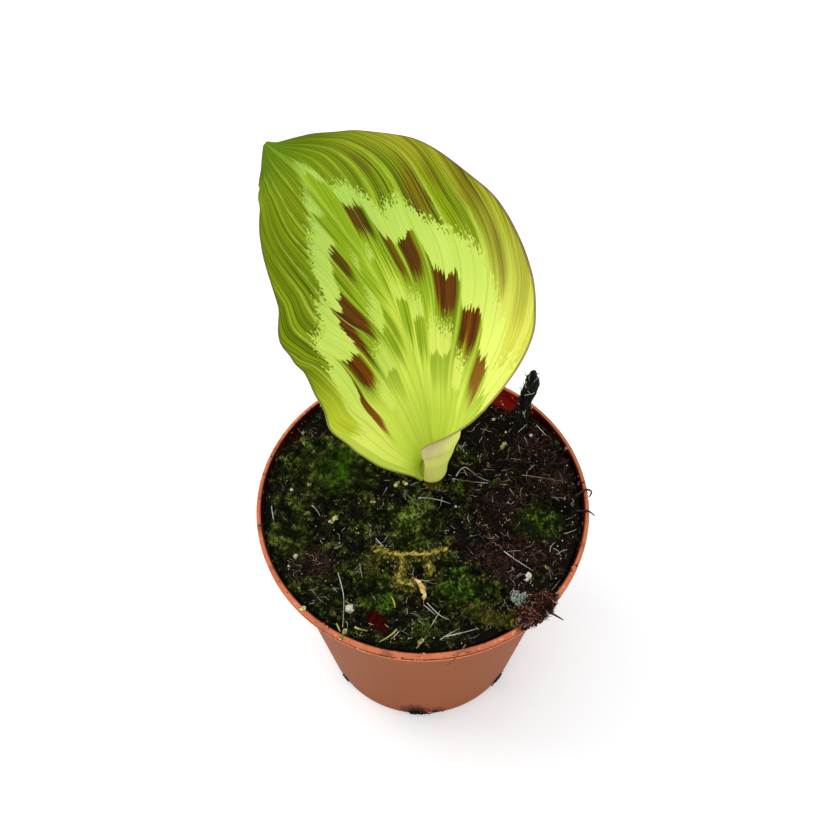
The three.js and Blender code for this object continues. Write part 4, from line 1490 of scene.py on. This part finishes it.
# Roots that hang over the rim, each point (x, y, z)
HANGING_ROOTS = [
    [(55.5, 4.4, 104.4), (58, 5.6, 106.9), (60, 5.8, 107.1), (61.4, 4.8, 106.7), (60, 3, 106.5)],
    [(55.5, -1.8, 104.6), (58.5, -2.8, 106.8), (60.2, -3.4, 106.9), (61.6, -4.6, 106.2)],
    [(44, -43, 106.5), (46.5, -44.2, 106.2), (48.8, -45, 104.6)],
]
FRONT_ROOTS = [
    [(15, -54.5, 104.5), (13.5, -57.5, 106.3), (12, -59.3, 106.3), (10.3, -60.8, 104), (8.3, -60.8, 101)],
    [(18, -55.5, 105.6), (15.5, -57.4, 106.3), (11.5, -58.2, 106.3)],
]
ROOT_RADIUS = 0.15
SHORT_ROOTS = 300

# %% Root helpers


def root_finish(name, dark, pale):
    """A root's finish, which changes from a dark colour to a pale one in patches."""
    return mottled(name, 0.55, 0.2, 110, (0.38, 0.62), dark, pale)


def laid(curve, points, radius):
    """Adds one root through points given as (x, y, z)."""
    spline = curve.splines.new("NURBS")
    spline.points.add(len(points) - 1)
    for number, (point, place) in enumerate(zip(spline.points, points)):
        point.co = (*[value * MM for value in place], 1)
        point.radius = radius * (1 - 0.6 * number / (len(points) - 1))
    spline.order_u = 3
    spline.use_endpoint_u = True
    spline.resolution_u = 4


def on_peat(dice, points, lift):
    """Points of a root that follows the peat."""
    return [(x, y, crumbly(x, y) + lift + dice.uniform(0, 0.6)) for x, y in points]


def root_curve(name):
    """An empty curve with a round bevel of 1 mm, which each point's radius scales."""
    curve = bpy.data.curves.new(name, "CURVE")
    curve.dimensions = "3D"
    curve.bevel_depth = 1 * MM
    curve.bevel_resolution = 1
    curve.use_fill_caps = True
    return curve


def show_curve(curve, finish):
    """Shows a curve as a mesh piece."""
    holder = bpy.data.objects.new(curve.name, curve)
    bpy.context.collection.objects.link(holder)
    bpy.context.view_layer.update()
    shaped = holder.evaluated_get(bpy.context.evaluated_depsgraph_get())
    piece_mesh = bpy.data.meshes.new_from_object(shaped)
    bpy.data.objects.remove(holder)
    return show(piece_mesh, curve.name, finish)


# %% Lay the roots and the green stems
pale_root = root_finish("rootlet", (120, 108, 84), (224, 220, 206))
dark_root = root_finish("dark_root", (14, 11, 10), (44, 36, 32))
rust_root = root_finish("rust_root", (60, 28, 14), (156, 98, 62))

dice = random.Random(80)
long_roots = root_curve("long_rootlets")
for points in LONG_ROOTLETS:
    laid(long_roots, on_peat(dice, points, 1.4), ROOT_RADIUS)
show_curve(long_roots, pale_root)

short_roots = root_curve("short_rootlets")
short_roots.bevel_resolution = 0  # thin ones need only four sides
for _ in range(SHORT_ROOTS):
    x, y = in_disc(dice, 55)
    bearing = dice.uniform(0, math.tau)
    points = [(x, y)]
    for _ in range(dice.choice((1, 2, 3))):
        bearing += dice.gauss(0, 0.5)
        step = dice.uniform(0.8, 2)
        x, y = x + step * math.cos(bearing), y + step * math.sin(bearing)
        points.append((x, y))
    if math.hypot(x, y) < 56:
        laid(short_roots, on_peat(dice, points, 0.8), dice.uniform(0.05, 0.11))
show_curve(short_roots, pale_root)

# Green and yellow stems at the front, each point (x, y)
GREEN_STEMS = [
    [(1.6, -51.6), (0.2, -54), (-1.8, -56.6)],
    [(-8.7, -48.6), (-10.2, -51.4), (-14.4, -54.4)],
    [(-23, -48.6), (-21, -50), (-18.6, -50.2)],
    [(-29.4, -47.4), (-28, -50.4)],
    [(-45.6, -38.4), (-43.6, -39), (-42.4, -40.4)],
    [(-12.2, -33.4), (-9.8, -35.6), (-9.4, -39)],
]
green_stem = root_finish("green_stem", (74, 82, 20), (176, 174, 92))
stems = root_curve("green_stems")
for points in GREEN_STEMS:
    laid(stems, on_peat(dice, points, 1.3), 0.42)
show_curve(stems, green_stem)

for name, routes, radius, finish in (
    ("hanging_roots", HANGING_ROOTS, 0.52, dark_root),
    ("front_roots", FRONT_ROOTS, 0.26, rust_root),
):
    curve = root_curve(name)
    for points in routes:
        laid(curve, points, radius)
    show_curve(curve, finish)

# %% [markdown]
# ## Perlite, lichen and crumbs of leaf
#
# White perlite grains are popped volcanic glass, so they are lumpy and matt. A pale blue-green
# tuft of lichen sits at the front right, and a few yellow scraps of old leaf lie about.

# %% Scatter the grains
perlite = mottled("perlite", 0.8, 0.2, 2200, (0.35, 0.6), (160, 150, 124), (232, 228, 210), 0.0004)
# Each grain: x, y and size
GRAINS = [(-25.2, -40.6, 2.8), (37.4, -27.3, 2.2), (36.9, -28.6, 1.2), (-45, -20.3, 1.4)]
GRAINS += [(-48, 7.4, 1.0), (43.6, -43.7, 1.2), (45.4, -41.9, 1.1), (-33.7, -4.7, 0.9)]
GRAINS += [(-47.1, -25.2, 0.7), (22.5, 46.5, 1.1), (-42.8, -2.4, 0.8), (-29.4, 7.7, 0.8)]
GRAINS += [(36, 38.2, 1.4), (40, 30.5, 1.1), (31, 34, 0.8), (12, 2, 0.8)]
grain_shape = bmesh.new()
bmesh.ops.create_icosphere(grain_shape, subdivisions=3, radius=0.5)
roughen(grain_shape, 0.3, 0.3)
dice = random.Random(90)
places = [on_top(dice, x, y, 0.3 * size + 0.7, 0.5, size) for x, y, size in GRAINS]
tones = [dice.random() for _ in places]
strewn(grain_shape, places, tones, "perlite_grains", perlite, smooth=True)

# %% Make the lichen
LICHEN = (33.8, -37)
LICHEN_REACH = 4.4
LICHEN_LOBES = 260
lichen = new_finish("lichen", 0.85, 0.1)
pits = grain(1500)
shade = tint(attribute("tone"), (86, 102, 92), (208, 218, 208))
paint(tint(ramp(pits, 0.6, 0.35), shade, (66, 80, 70)))
relief(pits, 0.0005)
lobe = bmesh.new()
bmesh.ops.create_icosphere(lobe, subdivisions=2, radius=0.5)
bmesh.ops.scale(lobe, vec=(1, 0.5, 0.35), verts=lobe.verts)
roughen(lobe, 0.4, 0.25)
dice = random.Random(95)
places, tones = [], []
while len(places) < LICHEN_LOBES:
    bearing, out = dice.uniform(0, math.tau), LICHEN_REACH * math.sqrt(dice.random())
    ragged = noise.noise(Vector((math.cos(bearing), math.sin(bearing), 1)) * 1.7)
    if out > LICHEN_REACH * (0.75 + 0.5 * ragged):
        continue
    x, y = LICHEN[0] + 0.85 * out * math.cos(bearing), LICHEN[1] + 1.1 * out * math.sin(bearing)
    lift = 2.0 - 0.3 * out + dice.uniform(0, 0.5)
    places.append(on_top(dice, x, y, lift, dice.uniform(0, 0.9), dice.uniform(0.5, 1.1)))
    tones.append(dice.random())
strewn(lobe, places, tones, "lichen_tuft", lichen, smooth=True)

# %% Scatter the scraps of old leaf
scrap_finish = new_finish("old_leaf", 0.6, 0.15)
colours = tint(attribute("tone"), (112, 126, 36), (206, 206, 130))
paint(tint(ramp(grain(900), 0.62, 0.4), colours, (92, 88, 30)))
scrap = bmesh.new()
bmesh.ops.create_icosphere(scrap, subdivisions=2, radius=0.5)
bmesh.ops.scale(scrap, vec=(1, 0.6, 0.2), verts=scrap.verts)
roughen(scrap, 0.3, 0.2)
for vert in scrap.verts:
    vert.co.z += 0.8 * vert.co.x ** 2
# Each scrap: x, y and size
SCRAPS = [(30.2, 28.6, 2.6), (29.4, 27.4, 2.2), (26.3, 38.8, 1.7), (-41.6, 10.3, 2.8)]
SCRAPS += [(44.1, -24.7, 2.2), (-32.9, -4.3, 3.2), (-31.4, -3.2, 2.4), (-42.3, -1.6, 2.6)]
SCRAPS += [(-16.4, -42.9, 2.6), (-26.4, -50.4, 2.8), (-9.9, 10.6, 2.6), (-9, 11.8, 2)]
SCRAPS += [(-6.4, 11.1, 2.6), (-0.6, -54, 2.8), (-48.5, 1, 1.6), (-18.4, 3.6, 2)]
RIM_SCRAPS = [(-27.2, -53.2, 2.2), (-41, -42.2, 2.8)]
SMALL_SCRAPS = 40
dice = random.Random(99)
places = [on_top(dice, x, y, 1.2, dice.uniform(0, 0.6), size) for x, y, size in SCRAPS]
places += [dropped(dice, x, y, POT_HEIGHT + 0.2, 0.25, size) for x, y, size in RIM_SCRAPS]
tones = [dice.uniform(0.5, 1) for _ in places]
for _ in range(SMALL_SCRAPS):
    x, y = in_disc(dice, 55)
    places.append(on_top(dice, x, y, 0.8, dice.uniform(0, 0.8), dice.uniform(0.5, 1.1)))
    tones.append(dice.random())
strewn(scrap, places, tones, "leaf_scraps", scrap_finish, smooth=True)

# %% [markdown]
# ## The dead root stub, the dry strand and the flake of bark
#
# Three larger bits lie on the peat. The stub is an old black root with rough skin and white
# hairs. The strand is a dried mat of moss, olive-yellow and ragged, with a side piece that ends
# in a pale curl. The flake is a dark red chip of bark.

# %% Make the root stub
STUB = [(35.2, 34.4, 89), (36, 35.3, 100), (37, 37.3, 112), (38.5, 39.4, 123), (39.6, 40.4, 131.5)]
STUB_RADII = [2.4, 2.6, 2.4, 2.8, 1.0]
STUB_HAIRS = 90
stub_finish = new_finish("dead_root", 0.7, 0.1)
drawn_out = stretched(object_place(), (1, 1, 0.3))
skin = grain(900, 4, drawn_out)
colours = tint(ramp(skin, 0.4, 0.7), (6, 6, 5), (32, 30, 24))
paint(tint(ramp(grain(620, 1, drawn_out), 0.70, 0.73), colours, (150, 146, 132)))
relief(skin, 0.0008)
stub_stations = stations_of(STUB)
bm = bmesh.new()
tube(bm, STUB, lambda at: through(stub_stations, STUB_RADII, at), sides=28, steps=70)
roughen(bm, 3.5, 1.2, 1)
roughen(bm, 0.9, 0.5, 2)
take_out(bm, "dead_root_stub", stub_finish, ("root_stub",))

stub_hair = new_finish("stub_hair", 0.6, 0.1)
paint(tint(ramp(attribute("tone"), 0.5, 0.85), (12, 11, 9), (206, 204, 190)))
dice = random.Random(110)
places, tones = [], []
for _ in range(STUB_HAIRS):
    at = dice.uniform(0.25, 0.97)
    around = dice.uniform(0, math.tau)
    hair_frame = frame_at(stub_stations, STUB, at, 1)
    radius = through(stub_stations, STUB_RADII, at) + dice.uniform(0, 0.3)
    hair_frame = hair_frame @ Matrix.Rotation(around, 4, "Z") @ Matrix.Translation((radius, 0, 0))
    upright = Matrix.Rotation(math.pi / 2 + dice.gauss(0, 0.4), 4, "Y")
    aslant = Matrix.Rotation(dice.gauss(0, 0.6), 4, "X")
    places.append(hair_frame @ aslant @ upright @ Matrix.Scale(dice.uniform(1.5, 4.5), 4))
    tones.append(dice.random())
strewn(fibre(0.06, 0.021), places, tones, "stub_hairs", stub_hair)

# %% Make the dry strand
STRAND_LONG = [(-17.4, -17.3), (-14.5, -16.6), (-11.6, -18.3), (-7, -18.7), (-3.8, -18.2), (-0.5, -18.5)]
STRAND_LONG += [(5.2, -17), (9.1, -15.8)]
STRAND_SIDE = [(-7.3, -19.5), (-7.3, -22.5), (-7.9, -25.2), (-8.3, -27.9), (-7, -30.2), (-5, -29.9)]
STRAND_SIDE += [(-2.9, -31.1)]
STRAND_RIGHT = [(1.3, -20.4), (2.4, -23.7), (2.4, -25.8)]
strand_finish = mottled("dry_strand", 0.8, 0.1, 700, (0.3, 0.7), (70, 70, 10), (198, 176, 82), 0.0006)
bm = bmesh.new()
for route, radius in ((STRAND_LONG, 0.7), (STRAND_SIDE, 0.6), (STRAND_RIGHT, 0.35)):
    points = [(x, y, soil_height(x, y) + 1.9) for x, y in route]
    tube(bm, points, lambda at: radius * (0.5 + 0.5 * math.sin(math.pi * at)), sides=12, steps=60)
roughen(bm, 1.5, 0.9, 3)
take_out(bm, "dry_strand", strand_finish, ("dried_strand",))

strand_moss = new_finish("dry_moss", 0.8, 0.1)
old = tint(attribute("tone"), (52, 66, 8), (222, 204, 98))
paint(tint(ramp(attribute("tip"), 0, 0.7), (48, 42, 6), old))
# Dry moss also trails off to the right and to the left
TRAIL = [(15, -38), (20, -42.5), (25, -45), (31, -45.6), (34.5, -45)]
LEAFY = [(-17.2, -19.6), (-18, -23.5), (-16.4, -27.5)]
# Each stretch of dry moss: route, shoots and spread
MATS = [(STRAND_LONG, 420, 0.9), (STRAND_SIDE, 520, 1.3), (STRAND_RIGHT, 130, 0.8), (TRAIL, 620, 1.7)]
MATS += [(LEAFY, 260, 1.2)]
dice = random.Random(120)
places, tones = [], []
for route, shoots, spread in MATS:
    stations = stations_of(route)
    for _ in range(shoots):
        at = within((dice.randrange(10) + dice.gauss(0.5, 0.3)) / 10)
        x, y = [through(stations, [point[axis] for point in route], at) for axis in (0, 1)]
        x, y = x + dice.gauss(0, spread), y + dice.gauss(0, spread)
        lift = dice.uniform(0.5, 1.9)
        places.append(on_top(dice, x, y, lift, dice.uniform(0.3, 1.4), dice.uniform(0.6, 1.1)))
        clump = 0.45 + 1.3 * patchy(x, y, 14, 2) + dice.gauss(0, 0.16)
        if route in (TRAIL, LEAFY):
            clump = 0.4 * clump
        tones.append(within(clump))
strewn(moss_shoot(2, 4, 1.1, 0.17, 1.0), places, tones, "dry_strand_tufts", strand_moss)

# %% Make the pale curl at the end of the strand
CURL = [(-3.4, -28.6, 102.8), (-1.6, -30, 103.8), (0, -32.6, 104), (0.9, -35.4, 103.2), (0.4, -38, 101.8)]
curl_finish = mottled("dry_curl", 0.55, 0.2, 500, (0.35, 0.65), (176, 140, 66), (232, 208, 146), 0.0003)
bm = bmesh.new()
tube(bm, CURL, lambda at: 0.22 + 0.75 * math.sin(math.pi * min(1, at * 1.1)) ** 1.5, sides=16, steps=44)
bm.normal_update()
bmesh.ops.scale(bm, vec=(1, 1, 0.6), space=Matrix.Translation((0, 0, -CURL[2][2])), verts=bm.verts)
roughen(bm, 1.3, 0.9, 5)
take_out(bm, "dry_curl", curl_finish)

# %% Make the flake of bark
FLAKE_OUTLINE = [(-1, -0.4), (-0.3, -1), (0.7, -0.8), (1, 0.2), (0.2, 1), (-0.8, 0.6)]
FLAKE_CENTRE = (-15.2, -46)
FLAKE_HALF = (5.6, 3.1)
FLAKE_TURN = math.radians(-52)
FLAKE_THICK = 0.9
bark = mottled("bark", 0.8, 0.03, 500, (0.35, 0.7), (28, 1, 0), (54, 5, 2), 0.0003)
bm = bmesh.new()
corners = [bm.verts.new((FLAKE_HALF[0] * x, FLAKE_HALF[1] * y, 0)) for x, y in FLAKE_OUTLINE]
face = bm.faces.new(corners)
grown = bmesh.ops.extrude_face_region(bm, geom=[face])["geom"]
top = [part for part in grown if isinstance(part, bmesh.types.BMVert)]
bmesh.ops.translate(bm, vec=(0, 0, FLAKE_THICK), verts=top)
bmesh.ops.recalc_face_normals(bm, faces=bm.faces)
bmesh.ops.bevel(bm, geom=bm.edges[:], offset=0.3, segments=2, affect="EDGES", profile=0.5, material=-1)
bmesh.ops.rotate(bm, cent=(0, 0, 0), matrix=Matrix.Rotation(FLAKE_TURN, 3, "Z"), verts=bm.verts)
flake_height = soil_height(*FLAKE_CENTRE) + 0.6
bmesh.ops.translate(bm, vec=(*FLAKE_CENTRE, flake_height), verts=bm.verts)
take_out(bm, "bark_chip", bark, ("bark_flake",), smooth=False)

# %% [markdown]
# ## The spill over the rim
#
# At the front right a clump of fibrous peat hangs over the rim. A lumpy core takes the place of
# the clump in the CAD body, and fibres and crumbs hide it.

# %% Make the spill
SPILL = (39.3, -41.7, 105.4)
SPILL_HALF = (4.2, 8.6, 2.3)
SPILL_TURN = math.radians(-46.7)
SPILL_FIBRES = 520  # of each kind
SPILL_CRUMBS = 340
spill_frame = Matrix.Translation(SPILL) @ Matrix.Rotation(SPILL_TURN, 4, "Z")
bm = bmesh.new()
core = spill_frame @ Matrix.Diagonal((*SPILL_HALF, 1))
bmesh.ops.create_icosphere(bm, subdivisions=5, radius=1, matrix=core)
roughen(bm, 2.4, 1.6, 6)
roughen(bm, 0.9, 0.7, 7)
take_out(bm, "spilled_peat", peat)

red_fibre = new_finish("red_fibre", 0.7, 0.1)
tone = attribute("tone")
dull = tint(ramp(tone, 0.2, 0.85), (10, 4, 3), (118, 54, 36))
paint(tint(ramp(tone, 0.88, 1.0), dull, (214, 186, 168)))


def upward(dice):
    """A random direction in the upper half."""
    return Vector((dice.gauss(0, 1), dice.gauss(0, 1), abs(dice.gauss(0, 1)))).normalized()


def on_spill(way, reaches):
    """The place on the core in a direction, at a share of its size for each axis."""
    return spill_frame @ Vector([way[axis] * SPILL_HALF[axis] * reaches[axis] for axis in range(3)])


for number, (bend, longest) in enumerate(((0.12, 3.2), (0.2, 2.2))):
    dice = random.Random(130 + number)
    places, tones = [], []
    for _ in range(SPILL_FIBRES):
        x, y, z = on_spill(upward(dice), [dice.uniform(0.95, 1.15)] * 3)
        places.append(dropped(dice, x, y, z + 0.2, dice.gauss(0, 0.5), dice.uniform(0.8, longest)))
        tones.append(dice.random())
    strewn(fibre(bend), places, tones, f"spill_fibres_{number}", red_fibre)

crumb = bmesh.new()
bmesh.ops.create_icosphere(crumb, subdivisions=1, radius=0.5)
bmesh.ops.scale(crumb, vec=(1, 0.8, 0.6), verts=crumb.verts)
dice = random.Random(135)
places, tones = [], []
for _ in range(SPILL_CRUMBS):
    x, y, z = on_spill(upward(dice), [dice.uniform(0.95, 1.15) for _ in range(3)])
    size = 0.4 + 1.2 * dice.random() ** 2
    places.append(dropped(dice, x, y, z, dice.uniform(0, 0.9), size))
    tones.append(1 if dice.random() < 0.12 and size < 0.9 else 0.8 * dice.random())
strewn(crumb, places, tones, "spill_crumbs", crumb_finish)

# %% [markdown]
# ## The rhizome
#
# The rhizome and its storage roots lie inside the peat, where nobody sees them until the part is
# taken apart. The CAD shapes are right as they are, so they only get a finish.

# %% Finish the rhizome
rhizome_skin = new_finish("rhizome_skin", 0.65, 0.2)
place = object_place()
rings = grain(300, 3, stretched(place, (1, 1, 3)))
paint(tint(ramp(rings, 0.35, 0.7), (120, 84, 48), (196, 164, 118)))
relief(rings, 0.0005)
for holder in bpy.data.objects:
    if holder.name.split(".")[0] == "rhizome" and holder.type == "MESH":
        for slot in holder.material_slots:
            slot.material = rhizome_skin
        print("finished", holder.name)

# %% Measure the sizes of the CAD frame and of the dressed object
size = {"cad": [list(corner) for corner in cad_box], "visual": [list(corner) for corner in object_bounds()]}
print("visual box", [[round(value, 4) for value in corner] for corner in size["visual"]])
